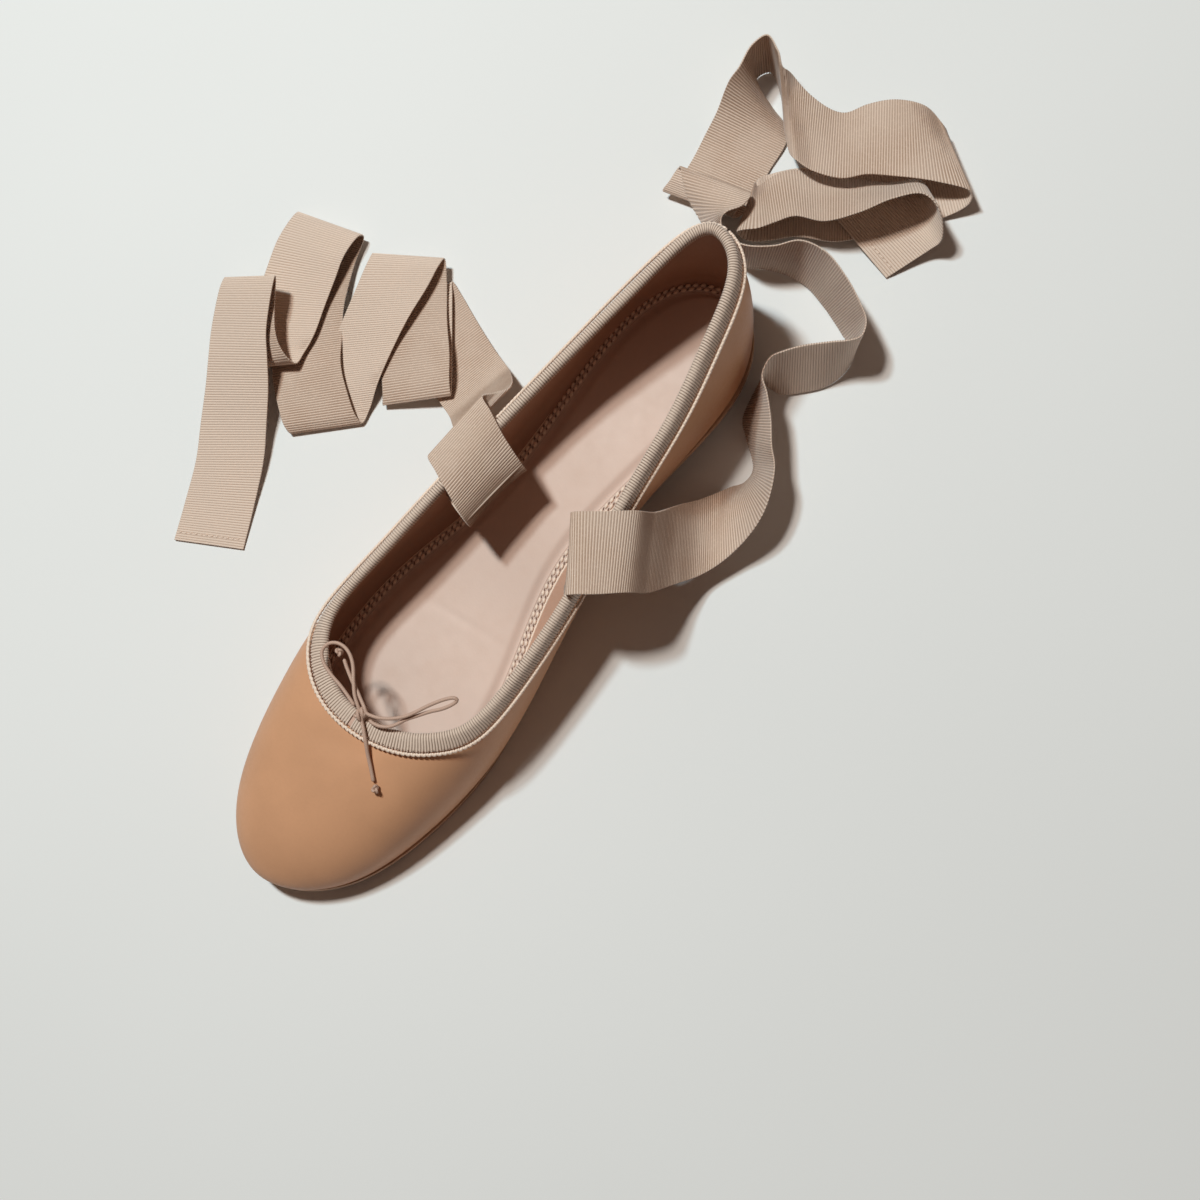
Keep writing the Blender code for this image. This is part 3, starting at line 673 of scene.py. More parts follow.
class Nodes:
    """A Principled material and short calls to add and join its nodes."""

    def __init__(self, name, base, roughness, **fixed):
        self.material = bpy.data.materials.new(name)
        self.material.use_nodes = True
        self.tree = self.material.node_tree
        self.shader = self.tree.nodes["Principled BSDF"]
        self.shader.inputs["Base Color"].default_value = (*base, 1)
        self.shader.inputs["Roughness"].default_value = roughness
        for socket, value in fixed.items():
            self.shader.inputs[socket.replace("_", " ")].default_value = value

    def add(self, kind, **settings):
        made = self.tree.nodes.new(kind)
        for key, value in settings.items():
            setattr(made, key, value)
        return made

    def join(self, source, target):
        self.tree.links.new(source, target)

    def put(self, node, values):
        """Sets a node's inputs: a number or colour stays, a socket is joined."""
        for key, value in values.items():
            socket = node.inputs[key]
            if isinstance(value, bpy.types.NodeSocket):
                self.join(value, socket)
            else:
                socket.default_value = value
        return node

    def object_place(self, scale=(1, 1, 1)):
        place = self.add("ShaderNodeTexCoord").outputs["Object"]
        return self.put(self.add("ShaderNodeMapping"), {"Vector": place, "Scale": scale}).outputs["Vector"]

    def uv(self):
        place = self.add("ShaderNodeTexCoord").outputs["UV"]
        split = self.put(self.add("ShaderNodeSeparateXYZ"), {"Vector": place})
        return split.outputs["X"], split.outputs["Y"]

    def noise(self, place, scale, detail=4.0, rough=0.55):
        made = self.add("ShaderNodeTexNoise")
        self.put(made, {"Vector": place, "Scale": scale, "Detail": detail, "Roughness": rough})
        return made.outputs["Fac"]

    def cells(self, place, scale, feature="F1"):
        made = self.add("ShaderNodeTexVoronoi", feature=feature)
        self.put(made, {"Vector": place, "Scale": scale})
        return made.outputs["Distance"]

    def math(self, operation, first, second=0.0):
        return self.put(self.add("ShaderNodeMath", operation=operation), {0: first, 1: second}).outputs[0]

    def span(self, value, low, high, to_low=0.0, to_high=1.0):
        made = self.add("ShaderNodeMapRange", interpolation_type="SMOOTHSTEP")
        keys = {"Value": value, "From Min": low, "From Max": high, "To Min": to_low, "To Max": to_high}
        return self.put(made, keys).outputs["Result"]

    def blend(self, factor, first, second):
        made = self.add("ShaderNodeMix", data_type="RGBA")
        as_colour = lambda value: value if isinstance(value, bpy.types.NodeSocket) else (*value, 1)
        self.put(made, {0: factor, 6: as_colour(first), 7: as_colour(second)})
        return made.outputs[2]

    def relief(self, *layers):
        """Bumps on each other: (height socket, distance in metres, strength)."""
        normal = None
        for height, distance, strength in layers:
            made = self.add("ShaderNodeBump")
            values = {"Height": height, "Distance": distance, "Strength": strength}
            if normal is not None:
                values["Normal"] = normal
            normal = self.put(made, values).outputs["Normal"]
        self.join(normal, self.shader.inputs["Normal"])

    def finish(self, base=None, roughness=None):
        if base is not None:
            self.join(base, self.shader.inputs["Base Color"])
        if roughness is not None:
            self.join(roughness, self.shader.inputs["Roughness"])
        return self.material


def shade(base, factor):
    return tuple(min(1.0, value * factor) for value in base)


def leather(name, base, roughness=0.42, grain=1.0, mottle=0.05, **fixed):
    """Smooth dyed leather: slow mottling, fine pores and creased grain."""
    nodes = Nodes(name, base, roughness, **fixed)
    place = nodes.object_place()
    slow = nodes.noise(place, 38.0, 3.0)
    fine = nodes.noise(place, 900.0, 4.0, 0.6)
    pores = nodes.cells(place, 1500.0)
    grain_cells = nodes.cells(place, 850.0, "SMOOTH_F1")
    tone = nodes.blend(nodes.span(slow, 0.36, 0.66), shade(base, 1 - mottle), shade(base, 1 + mottle * 0.6))
    tone = nodes.blend(nodes.span(fine, 0.42, 0.72, 0.0, 0.10), tone, shade(base, 0.8))
    rough = nodes.span(fine, 0.3, 0.7, roughness - 0.05, roughness + 0.06)
    nodes.relief(
        (slow, 0.5 * MM, 0.06 * grain),
        (grain_cells, 0.10 * MM, 0.20 * grain),
        (pores, 0.06 * MM, 0.14 * grain),
        (fine, 0.06 * MM, 0.20 * grain),
    )
    return nodes.finish(tone, rough)


def shimmer(name, base):
    """The footbed's blush leather: soft, nearly even, with fine painted glints standing in for a pearl shimmer in
    its grain.
    """
    nodes = Nodes(name, base, 0.62, Metallic=0.04, Specular_IOR_Level=0.32)
    place = nodes.object_place()
    slow = nodes.noise(place, 22.0, 3.0)
    rub = nodes.noise(place, 90.0, 5.0, 0.65)
    pebble = nodes.cells(place, 1300.0, "SMOOTH_F1")
    glint_flecks = nodes.noise(place, 2600.0, 2.0, 0.7)
    tone = nodes.blend(nodes.span(slow, 0.36, 0.66), shade(base, 0.97), shade(base, 1.04))
    rubbed = (base[0] * 0.92, base[1] * 0.86, base[2] * 0.80)
    tone = nodes.blend(nodes.span(rub, 0.5, 0.74, 0.0, 0.16), tone, rubbed)
    # Painted glint: fine flecks lighten the colour where a pearl shimmer would catch the light.
    tone = nodes.blend(nodes.span(glint_flecks, 0.58, 0.78, 0.0, 0.2), tone, shade(base, 1.16))
    rough = nodes.span(rub, 0.3, 0.7, 0.56, 0.68)
    nodes.relief((slow, 0.4 * MM, 0.06), (pebble, 0.08 * MM, 0.2), (glint_flecks, 0.05 * MM, 0.2))
    return nodes.finish(tone, rough)


def grosgrain(name, base, groove_shade):
    """Ribbed ribbon: rib tops in the ribbon's colour with painted shade darkening the grooves between them, fine
    warp threads and a soft sheen.
    """
    nodes = Nodes(name, base, 0.72, Sheen_Weight=0.25, Sheen_Roughness=0.5)
    along, across = nodes.uv()
    place = nodes.object_place()
    turn = nodes.math("MULTIPLY", along, 2 * math.pi / (sizes().rib_pitch / MM))
    crest = nodes.math("SINE", turn)
    warp = nodes.math("SINE", nodes.math("MULTIPLY", across, 2 * math.pi / 0.26))
    slow = nodes.noise(place, 60.0, 3.0)
    slub = nodes.noise(place, 1400.0, 3.0, 0.7)
    # Painted shade: along the rib wave the grooves darken to the groove shade colour and the rib tops keep the
    # base colour.
    tone = nodes.blend(nodes.span(crest, -0.95, 0.25), groove_shade, base)
    tone = nodes.blend(nodes.span(slow, 0.35, 0.68, 0.0, 0.35), tone, shade(base, 0.88))
    tone = nodes.blend(nodes.span(slub, 0.48, 0.75, 0.0, 0.30), tone, shade(base, 1.14))
    tone = nodes.blend(nodes.span(warp, -0.2, 0.9, 0.0, 0.12), tone, shade(base, 0.72))
    nodes.relief((warp, 0.03 * MM, 0.35), (slub, 0.06 * MM, 0.45))
    return nodes.finish(tone)


def twisted(name, base, dark):
    """Waxed cord or thread: a fine slanting lay in its relief, with painted shade darkening the grooves of the
    lay.
    """
    nodes = Nodes(name, base, 0.5, Specular_IOR_Level=0.4)
    along, around = nodes.uv()
    place = nodes.object_place()
    lay = nodes.math("SINE", nodes.math("MULTIPLY", nodes.math("ADD", along, around), 2 * math.pi / 0.78))
    fibre = nodes.noise(place, 1900.0, 4.0, 0.7)
    # Painted shade: the grooves of the lay darken towards the dark colour.
    tone = nodes.blend(nodes.span(lay, -1.0, 0.6, 0.55, 1.0), dark, base)
    tone = nodes.blend(nodes.span(fibre, 0.45, 0.75, 0.0, 0.35), tone, shade(base, 1.3))
    nodes.relief((lay, 0.05 * MM, 0.5), (fibre, 0.05 * MM, 0.4))
    return nodes.finish(tone, nodes.span(fibre, 0.3, 0.7, 0.42, 0.62))


def spun_thread(name, base):
    """Sewing thread, too fine for a lay of its own: fibre noise only."""
    nodes = Nodes(name, base, 0.65, Sheen_Weight=0.1)
    place = nodes.object_place()
    fibre = nodes.noise(place, 3200.0, 3.0, 0.7)
    slow = nodes.noise(place, 120.0)
    tone = nodes.blend(nodes.span(fibre, 0.4, 0.7), shade(base, 0.85), shade(base, 1.06))
    tone = nodes.blend(nodes.span(slow, 0.4, 0.7, 0.0, 0.3), tone, shade(base, 0.82))
    nodes.relief((fibre, 0.04 * MM, 0.5))
    return nodes.finish(tone)


def sole_leather(name, base):
    """Buffed sole leather, scuffed where the shoe treads."""
    nodes = Nodes(name, base, 0.62)
    place = nodes.object_place()
    slow = nodes.noise(place, 30.0, 4.0)
    scuff = nodes.noise(nodes.object_place((1.0, 0.18, 1.0)), 420.0, 5.0, 0.7)
    fibre = nodes.noise(place, 1500.0, 4.0, 0.65)
    tone = nodes.blend(nodes.span(slow, 0.35, 0.66), shade(base, 0.84), shade(base, 1.1))
    tone = nodes.blend(nodes.span(scuff, 0.5, 0.74, 0.0, 0.45), tone, shade(base, 0.58))
    nodes.relief((scuff, 0.12 * MM, 0.3), (fibre, 0.10 * MM, 0.4))
    return nodes.finish(tone, nodes.span(scuff, 0.3, 0.7, 0.52, 0.76))


def heel_stack(name, base):
    """Pressed, stained leather lifts: fine layers round the side; their very dark brown is partly stain and partly
    painted shade of the gap under the upper.
    """
    nodes = Nodes(name, base, 0.45)
    place = nodes.object_place()
    layers = nodes.noise(nodes.object_place((0.05, 0.05, 1.0)), 2400.0, 3.0, 0.6)
    slow = nodes.noise(place, 60.0, 4.0)
    fibre = nodes.noise(place, 1300.0, 4.0, 0.65)
    tone = nodes.blend(nodes.span(layers, 0.38, 0.66), shade(base, 0.75), shade(base, 1.5))
    tone = nodes.blend(nodes.span(slow, 0.45, 0.7, 0.0, 0.4), tone, shade(base, 1.8))
    nodes.relief((layers, 0.06 * MM, 0.4), (fibre, 0.08 * MM, 0.35))
    return nodes.finish(tone, nodes.span(fibre, 0.3, 0.7, 0.38, 0.56))


# ---------------------------------------------------------------- stage


class FLAT_OT_stage(bpy.types.Operator):
    """Adds the floor, the lights and the camera"""

    bl_idname = "flat.stage"
    bl_label = "Stage"

    def execute(self, context):
        stage = context.scene.flat_stage
        form = bmesh.new()
        bmesh.ops.create_grid(form, x_segments=8, y_segments=8, size=4.0)
        mesh = bpy.data.meshes.new("floor")
        form.to_mesh(mesh)
        form.free()
        floor = bpy.data.objects.new("floor", mesh)
        nodes = Nodes("floor_paper", stage.floor, 0.9, Specular_IOR_Level=0.2)
        tooth = nodes.noise(nodes.object_place(), 700.0, 3.0)
        slow = nodes.noise(nodes.object_place(), 3.0, 2.0)
        nodes.relief((tooth, 0.05 * MM, 0.15))
        tone = nodes.blend(nodes.span(slow, 0.3, 0.7), shade(stage.floor, 0.985), shade(stage.floor, 1.01))
        mesh.materials.append(nodes.finish(tone))
        context.scene.collection.objects.link(floor)
        self.add_lamp(context, "key", stage.key, KEY_PLACE, KEY_SIZE, (0.77, 1.0, 1.08))
        self.add_lamp(context, "second_key", stage.second, SECOND_PLACE, SECOND_SIZE, (1.06, 1.0, 0.92))
        world = bpy.data.worlds.new("studio")
        world.use_nodes = True
        sky = world.node_tree.nodes["Background"]
        sky.inputs["Color"].default_value = (*stage.sky, 1)
        sky.inputs["Strength"].default_value = 1.0
        context.scene.world = world
        context.scene.view_settings.view_transform = "Standard"
        self.add_camera(context)
        return {"FINISHED"}

    def add_lamp(self, context, name, power, place, size, tint):
        lamp = bpy.data.lights.new(name, "AREA")
        lamp.shape = "DISK"
        lamp.size = size
        lamp.energy = power
        lamp.color = tint
        made = bpy.data.objects.new(name, lamp)
        made.location = place
        made.rotation_mode = "QUATERNION"
        made.rotation_quaternion = (-Vector(place)).to_track_quat("-Z", "Y")
        context.scene.collection.objects.link(made)

    def add_camera(self, context):
        lens = bpy.data.cameras.new("camera")
        lens.sensor_width = 36.0
        lens.lens = 54.0
        lens.clip_start = 0.02
        made = bpy.data.objects.new("camera", lens)
        turn = Matrix((CAMERA_RIGHT, CAMERA_UP, CAMERA_BACK)).transposed()
        made.matrix_world = Matrix.Translation(CAMERA_PLACE) @ turn.to_4x4()
        context.scene.collection.objects.link(made)
        context.scene.camera = made


# ---------------------------------------------------------------- bow


class FLAT_OT_bow(bpy.types.Operator):
    """Ties the drawcord's bow: two cords, their wrapped knot and their end knots"""

    bl_idname = "flat.bow"
    bl_label = "Bow"

    def execute(self, context):
        base = tuple(colours().cord)
        # The cord's dark colour is the painted shade in the grooves of its lay.
        material = twisted("bow_cord", base, shade(base, 0.55))
        self.add_end_knot("end_knot_front", END_KNOT_FRONT, (1.0, -1.0, -0.2), material, "bow_end_knot_front")
        self.add_end_knot("end_knot_inner", END_KNOT_INNER, (-1.0, 0.5, 0.1), material, "bow_end_knot_inner")
        self.add_wraps(material)
        lateral = (*LOOP_LATERAL, (-1.4, -61.8, 41.0), *TAIL_FRONT)
        medial = (*LOOP_MEDIAL, (-0.2, -60.2, 41.7), *TAIL_INNER)
        self.add_cord("bow_cord_lateral", lateral, material, ["end_knot_front"])
        self.add_cord("bow_cord_medial", medial, material, ["end_knot_inner"])
        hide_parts("bow_loop_lateral", "bow_tail_front")
        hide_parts("bow_loop_medial", "bow_tail_inner")
        return {"FINISHED"}

    def add_cord(self, name, route, material, ends):
        path = even_points(smooth_line(route, 12), 0.5)
        made = finished(name, tube(path, sizes().cord / MM), [material])

    def knot_path(self, centre, radii, heading, steps=120):
        """A trefoil drawn into an oval, the way a pulled-tight overhand knot looks."""
        t = np.linspace(0, 2 * math.pi, steps + 1)
        loop = np.stack([np.sin(t) + 2 * np.sin(2 * t), np.cos(t) - 2 * np.cos(2 * t), -np.sin(3 * t)], 1)
        return self.turned(loop / np.array([3.0, 3.0, 1.0]) * np.array(radii), centre, heading)

    def turned(self, loop, centre, heading):
        ahead = unit(np.array(heading, float))
        side = unit(np.cross((0.0, 0.0, 1.0), ahead))
        return np.array(centre) + loop @ np.stack([ahead, side, np.cross(ahead, side)])

    def add_end_knot(self, name, centre, heading, material, node):
        path = self.knot_path(centre, (1.15, 0.85, 0.6), heading)
        made = finished(name, tube(path, 0.95, around=8, closed=True), [material])
        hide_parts(node)

    def add_wraps(self, material):
        """The bow's knot: a tight core with two turns of cord wrapped over it."""
        core = self.knot_path(KNOT, (2.1, 1.3, 0.8), KNOT_HEADING, 160)
        form = tube(core, 1.15, around=10, closed=True)
        mesh = bpy.data.meshes.new("wrap")
        t = np.linspace(0, 2 * math.pi, 49)
        for along, lean, reach in ((-0.75, 0.5, 1.5), (0.7, 0.35, 1.35)):
            turn = np.stack([along + lean * np.cos(t), reach * np.cos(t), (reach - 0.1) * np.sin(t) + 0.1], 1)
            wrap = tube(self.turned(turn, KNOT, KNOT_HEADING), 1.1, around=10, closed=True)
            wrap.to_mesh(mesh)
            wrap.free()
            form.from_mesh(mesh)
        bpy.data.meshes.remove(mesh)
        made = finished("bow_knot_wraps", form, [material])
        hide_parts("bow_knot")


# ---------------------------------------------------------------- ribbons


def ribs(run):
    """Height of the grosgrain ribs at these distances along the cloth, in millimetres."""
    return sizes().rib_height / MM * np.sin(2 * math.pi * run / (sizes().rib_pitch / MM))


def ribbon_rows(table):
    """The ribbon's table as a smooth run of middles and crosswise lines, 40 to each row."""
    table = np.array(table, float)
    across, tilt = np.radians(table[:, 3]), np.radians(table[:, 4])
    lines = np.stack([np.cos(tilt) * np.cos(across), np.cos(tilt) * np.sin(across), np.sin(tilt)], 1)
    return smooth_line(np.hstack([table[:, :3], lines]), ROW_STEPS)


def run_at_row(table, row):
    """How far along the ribbon a row of its table lies."""
    return run_of(ribbon_rows(table))[round(row * ROW_STEPS)]


def ribbon_path(table, spacing):
    """Distances along a ribbon, with its middle, its crosswise line and its normal at each."""
    rows = ribbon_rows(table)
    run = run_of(rows)
    wanted = np.arange(0.0, run[-1], spacing)
    rows = resample(rows, run, wanted)
    lines = unit(rows[:, 3:])
    ahead = unit(np.gradient(rows[:, :3], axis=0))
    return wanted, rows[:, :3], lines, unit(np.cross(ahead, lines))


class FLAT_OT_ties(bpy.types.Operator):
    """Lays the two ribbon ties along their folds"""

    bl_idname = "flat.ties"
    bl_label = "Ribbon ties"

    def execute(self, context):
        # The ribbons' grosgrain gets a lighter painted groove shade than the tape's.
        material = grosgrain("grosgrain_ribbon", tuple(colours().ribbon), shade(tuple(colours().groove_shade), 1.8))
        self.add_ribbon("ribbon_lateral", TIE_LATERAL, material, "tie_lateral", LATERAL_CUPS)
        self.add_ribbon("ribbon_medial", TIE_MEDIAL, material, "tie_medial", MEDIAL_CUPS)
        return {"FINISHED"}

    def add_ribbon(self, name, table, material, node, cups):
        wanted, middle, lines, normals = ribbon_path(table, sizes().rib_pitch / MM / 4)
        steps = np.array([0.0, 0.25, 0.8, 2.2, 5.2, 9.0, 12.5, 16.0, 19.8, 22.8, 24.2, 24.75, 25.0])
        strength = np.array([0.7, 1, 1, 1, 1, 1, 1, 1, 1, 1, 1, 1, 0.7])
        places = middle[:, None] + lines[:, None] * (steps - RIBBON_WIDTH / 2)[None, :, None]
        inward = unit(np.gradient(unit(np.gradient(middle, axis=0)), axis=0))
        shares = [run_at_row(table, row) for row, _ in cups]
        cup = np.interp(wanted, shares, [depth for _, depth in cups])
        bowl = 1 - (2 * steps / RIBBON_WIDTH - 1) ** 2
        places = places + inward[:, None] * (cup[:, None] * bowl[None])[..., None]
        places = places + normals[:, None] * (ribs(wanted)[:, None] * strength[None])[..., None]
        form = laid_grid(places, wanted, steps)
        made = finished(name, form, [material], shade=80)
        thicken(made, 0.42, 0)
        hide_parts(node)


# ---------------------------------------------------------------- upper, lining and tape


def soft_marks(points, marks):
    """How far soft creases (negative) and ridges (positive) move a surface seen in plan."""
    moved = np.zeros(points.shape[:-1])
    for x, y, heading, reach, width, depth in marks:
        turn = math.radians(heading)
        away = points[..., :2] - np.array([x, y])
        along = away @ np.array([math.cos(turn), math.sin(turn)])
        across = away @ np.array([-math.sin(turn), math.cos(turn)])
        fade = np.exp(-((along / reach) ** 2))
        moved += depth * fade * np.exp(-((across / width) ** 2))
    return moved


class FLAT_OT_upper(bpy.types.Operator):
    """Makes the leather upper and its lining"""

    bl_idname = "flat.upper"
    bl_label = "Upper and lining"

    def execute(self, context):
        wall = Wall(*WALL_FINENESS)
        self.add_outer(wall)
        self.add_lining(wall)
        return {"FINISHED"}

    def add_lining(self, wall):
        """The lining from the collar down, then in under the foot to the seam round the footbed."""
        lining = leather("lining_leather", tuple(colours().lining), 0.6, 0.6, 0.05)
        grid = wall.grid - wall.normals * 0.85
        above = grid[..., 2] - underside(grid[..., 1])
        share = np.linspace(0.0, 1.0, 34)
        upright = []
        for column, height in zip(grid, above):
            wanted = COVE_HEIGHT + share * (height[-1] - COVE_HEIGHT)
            upright.append(np.stack([np.interp(wanted, height, column[:, axis]) for axis in range(3)], 1))
        upright = np.array(upright)
        start = upright[:, 0]
        seam = seam_ring(wall, 0.4) - (0.0, 0.0, 0.65)
        corner = start.copy()
        corner[:, 2] = underside(corner[:, 1]) + MARGIN_HEIGHT - 0.65
        margin = []
        for t in np.linspace(0.0, 1.0, 12)[:-1]:
            margin.append((1 - t) ** 2 * seam + 2 * t * (1 - t) * corner + t * t * start)
        whole = np.concatenate([np.stack(margin, 1), upright], 1)
        self.add_shell("quarter_lining", whole, lining, "sock_leather", LINING_THICK)

    def add_outer(self, wall):
        base = tuple(colours().leather)
        gloss = {"Coat_Weight": 0.04, "Coat_Roughness": 0.35, "Specular_IOR_Level": 0.22}
        material = leather("tan_leather", base, 0.46, 1.0, **gloss)
        grid = wall.grid + wall.normals * soft_marks(wall.grid, VAMP_MARKS)[..., None]
        out = np.concatenate([wall.foot_out, np.zeros((len(grid), 1))], 1)
        foot = grid[:, 0]
        tucked = np.stack([foot - out * 1.6 - (0, 0, 0.2), foot - out * 0.5 - (0, 0, 0.15)], 1)
        grid = np.concatenate([tucked, grid], 1)
        made = self.add_shell("upper_leather", grid, material, "tan_leather", LEATHER_THICK)
        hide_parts("upper")

    def add_shell(self, name, grid, material, slot, thickness):
        grid = close_ring(grid)
        form = laid_grid(grid, run_of(grid[:, -1]), run_of(grid[0]), closed=True, flip=True)
        made = finished(name, form, [material])
        thicken(made, thickness)
        return made


class FLAT_OT_tape(bpy.types.Operator):
    """Binds the collar with ribbed tape, its two ends meeting under the bow"""

    bl_idname = "flat.tape"
    bl_label = "Collar tape"

    def execute(self, context):
        wall = Wall(*WALL_FINENESS)
        rows = []
        for depth, off in TAPE_OUTSIDE:
            rows.append(wall.at(depth, off))
        edge, out = wall.grid[:, -1], wall.normals[:, -1]
        climb = unit(wall.grid[:, -1] - wall.grid[:, -2])
        middle = edge - out * WALL / 2
        for angle in range(15, 166, 15):
            turn = math.radians(angle)
            rows.append(middle + out * TAPE_HALF * math.cos(turn) + climb * TAPE_CROWN * math.sin(turn))
        for depth, off in TAPE_INSIDE:
            rows.append(wall.at(depth, off))
        grid = np.stack(rows, 1)
        start = 10 * 24  # the column at the front of the throat
        grid = close_ring(np.roll(grid, -start, 0))
        run = run_of(grid[:, 7])
        wanted = np.arange(TAPE_GAP / 2, run[-1] - TAPE_GAP / 2, sizes().rib_pitch / MM / 4)
        fine = np.stack([resample(grid[:, row], run, wanted) for row in range(grid.shape[1])], 1)
        along = np.gradient(fine, axis=0)
        up = np.gradient(fine, axis=1)
        normals = unit(np.cross(up, along))
        strength = np.ones(fine.shape[1])
        strength[:1] = 0.4
        strength[-2:] = 0.4
        fine = fine + normals * (ribs(wanted)[:, None] * strength[None])[..., None]
        form = laid_grid(fine, wanted, run_of(grid[0]), flip=True)
        # The tape's grosgrain carries the full painted groove shade.
        material = grosgrain("grosgrain_tape", tuple(colours().ribbon), tuple(colours().groove_shade))
        made = finished("topline_tape", form, [material], shade=80)
        thicken(made, 0.45)
        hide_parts("topline_binding")
        self.add_joint(grid, run)
        return {"FINISHED"}

    def add_joint(self, grid, run):
        """The cloth that shows between the tape's two ends."""
        wanted = np.linspace(-3.0, 3.0, 13) % run[-1]
        strip = np.stack([resample(grid[:, row], run, wanted) for row in range(1, grid.shape[1] - 1)], 1)
        normals = unit(np.cross(np.gradient(strip, axis=1), np.gradient(strip, axis=0)))
        form = laid_grid(strip - normals * 0.42, np.linspace(0.0, 6.0, 13), run_of(strip[0]), flip=True)
        material = spun_thread("joint_cloth", (0.62, 0.40, 0.31))
        made = finished("tape_joint", form, [material], shade=80)
        thicken(made, 0.3)


# ---------------------------------------------------------------- sock and sole


def bunched(steps):
    """Shares from 0 to 1 that crowd towards both ends."""
    return (1 - np.cos(np.linspace(0, math.pi, steps + 1))) / 2


def face_up(form):
    """Merges what meets at an outline's two ends and turns the sheet's faces up, before it gets its thickness."""
    bmesh.ops.remove_doubles(form, verts=form.verts, dist=MERGE_REACH)
    bmesh.ops.recalc_face_normals(form, faces=form.faces)
    if sum(face.normal.z for face in form.faces) < 0:
        bmesh.ops.reverse_faces(form, faces=form.faces)


def round_edges(made, name, width, segments, angle):
    """Rounds a piece's edges sharper than this angle, in degrees."""
    edge = made.modifiers.new(name, "BEVEL")
    edge.width = width * MM
    edge.segments = segments
    edge.limit_method = "ANGLE"
    edge.angle_limit = math.radians(angle)


def rungs(outline, across):
    """Lines across a closed outline that starts at the back, inner to outer side: [rung, step, xy]."""
    half = len(outline) // 2
    inner, outer = outline[: half + 1], np.roll(outline, -half, 0)[: half + 1][::-1]
    share = np.array(across)
    return inner[:, None] + (outer - inner)[:, None] * share[None, :, None]


class FLAT_OT_sock(bpy.types.Operator):
    """Lays the footbed's cover, cupped at its edge and creased where the foot bends"""

    bl_idname = "flat.sock"
    bl_label = "Sock"

    def execute(self, context):
        wall = Wall(*WALL_FINENESS)
        edge = seam_ring(wall, 0.3)
        share = bunched(SOCK_STEPS)
        grid = rungs(edge[:, :2], share)
        width = np.linalg.norm(grid[:, -1] - grid[:, 0], axis=1)[:, None]
        from_edge = np.minimum(share, 1 - share)[None] * width
        top = underside(grid[..., 1]) + MARGIN_HEIGHT - 0.25 + SOCK_LOFT * ease((from_edge - 0.6) / 3.4)
        places = np.concatenate([grid, top[..., None]], 2)
        places[..., 2] += soft_marks(places, SOCK_MARKS)
        form = laid_grid(places, run_of(places[:, SOCK_STEPS // 2]), run_of(places[len(places) // 2]), flip=True)
        face_up(form)
        made = finished("sock", form, [shimmer("blush_sock", tuple(colours().sock))])
        thicken(made, SOCK_THICK)
        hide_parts("insole")
        return {"FINISHED"}


class FLAT_OT_sole(bpy.types.Operator):
    """Makes the leather outsole and the low stacked heel"""

    bl_idname = "flat.sole"
    bl_label = "Outsole and heel"

    def execute(self, context):
        columns = smooth_ring(RING, 16)
        foot = columns[:, 0:2]
        out = ring_normals(foot)
        self.add_outsole(foot + out * FEATHER_INSET)
        self.add_heel(foot - out * HEEL_INSET)
        return {"FINISHED"}

    def add_outsole(self, outline):
        share = bunched(OUTSOLE_STEPS)
        grid = rungs(outline, share)
        places = np.concatenate([grid, underside(grid[..., 1])[..., None]], 2)
        form = laid_grid(places, run_of(places[:, OUTSOLE_STEPS // 2]), run_of(places[len(places) // 2]))
        face_up(form)
        material = sole_leather("sole_leather", tuple(colours().sole))
        made = finished("outsole_leather", form, [material], 60)
        thicken(made, OUTSOLE_THICK, 1)
        round_edges(made, "Rounded edge", 0.8, 4, 50)
        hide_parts("outsole")

    def add_heel(self, outline):
        seat = np.roll(outline, len(outline) // 2, 0)
        seat = seat[seat[:, 1] > BREAST + 0.4]
        corners = np.concatenate([[(seat[0][0], BREAST)], seat, [(seat[-1][0], BREAST)]])
        form = bmesh.new()
        bmesh.ops.create_circle(form, cap_ends=True, segments=len(corners), radius=1.0)
        form.verts.ensure_lookup_table()
        for vert, (x, y) in zip(form.verts, corners):
            vert.co = to_frame((x, y, 0.0))
        face = form.faces[:]
        for rise, inset in HEEL_LAYERS:
            if rise:
                made = bmesh.ops.extrude_face_region(form, geom=face)["geom"]
                moved = [item for item in made if isinstance(item, bmesh.types.BMVert)]
                face = [item for item in made if isinstance(item, bmesh.types.BMFace)]
                bmesh.ops.translate(form, verts=moved, vec=(0, 0, rise * MM))
            if inset:
                middle = sum((vert.co for vert in face[0].verts), Vector()) / len(face[0].verts)
                for vert in face[0].verts:
                    away = vert.co - middle
                    vert.co -= away.normalized() * inset * MM
        bmesh.ops.recalc_face_normals(form, faces=form.faces)
        material = heel_stack("heel_stack", tuple(colours().heel))
        made = finished("heel_lifts", form, [material], 35)
        round_edges(made, "Worn edge", 0.25, 2, 35)
        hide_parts("heel")


# ---------------------------------------------------------------- stitching


def copies(count, around=6, along=5):
    """A bmesh of this many equal round beads, made by doubling one."""
    bead = bmesh.new()
    bmesh.ops.create_uvsphere(bead, u_segments=around, v_segments=along, radius=1.0)
    bmesh.ops.rotate(bead, verts=bead.verts, matrix=Matrix.Rotation(math.pi / 2, 3, "Y"))
    mesh = bpy.data.meshes.new("bead")
    bead.to_mesh(mesh)
    bead.free()
    form = bmesh.new()
    form.from_mesh(mesh)
    each = len(form.verts)
    while len(form.verts) < count * each:
        form.to_mesh(mesh)
        form.from_mesh(mesh)
    bpy.data.meshes.remove(mesh)
    form.verts.ensure_lookup_table()
    bmesh.ops.delete(form, geom=form.verts[count * each :], context="VERTS")
    return form, each


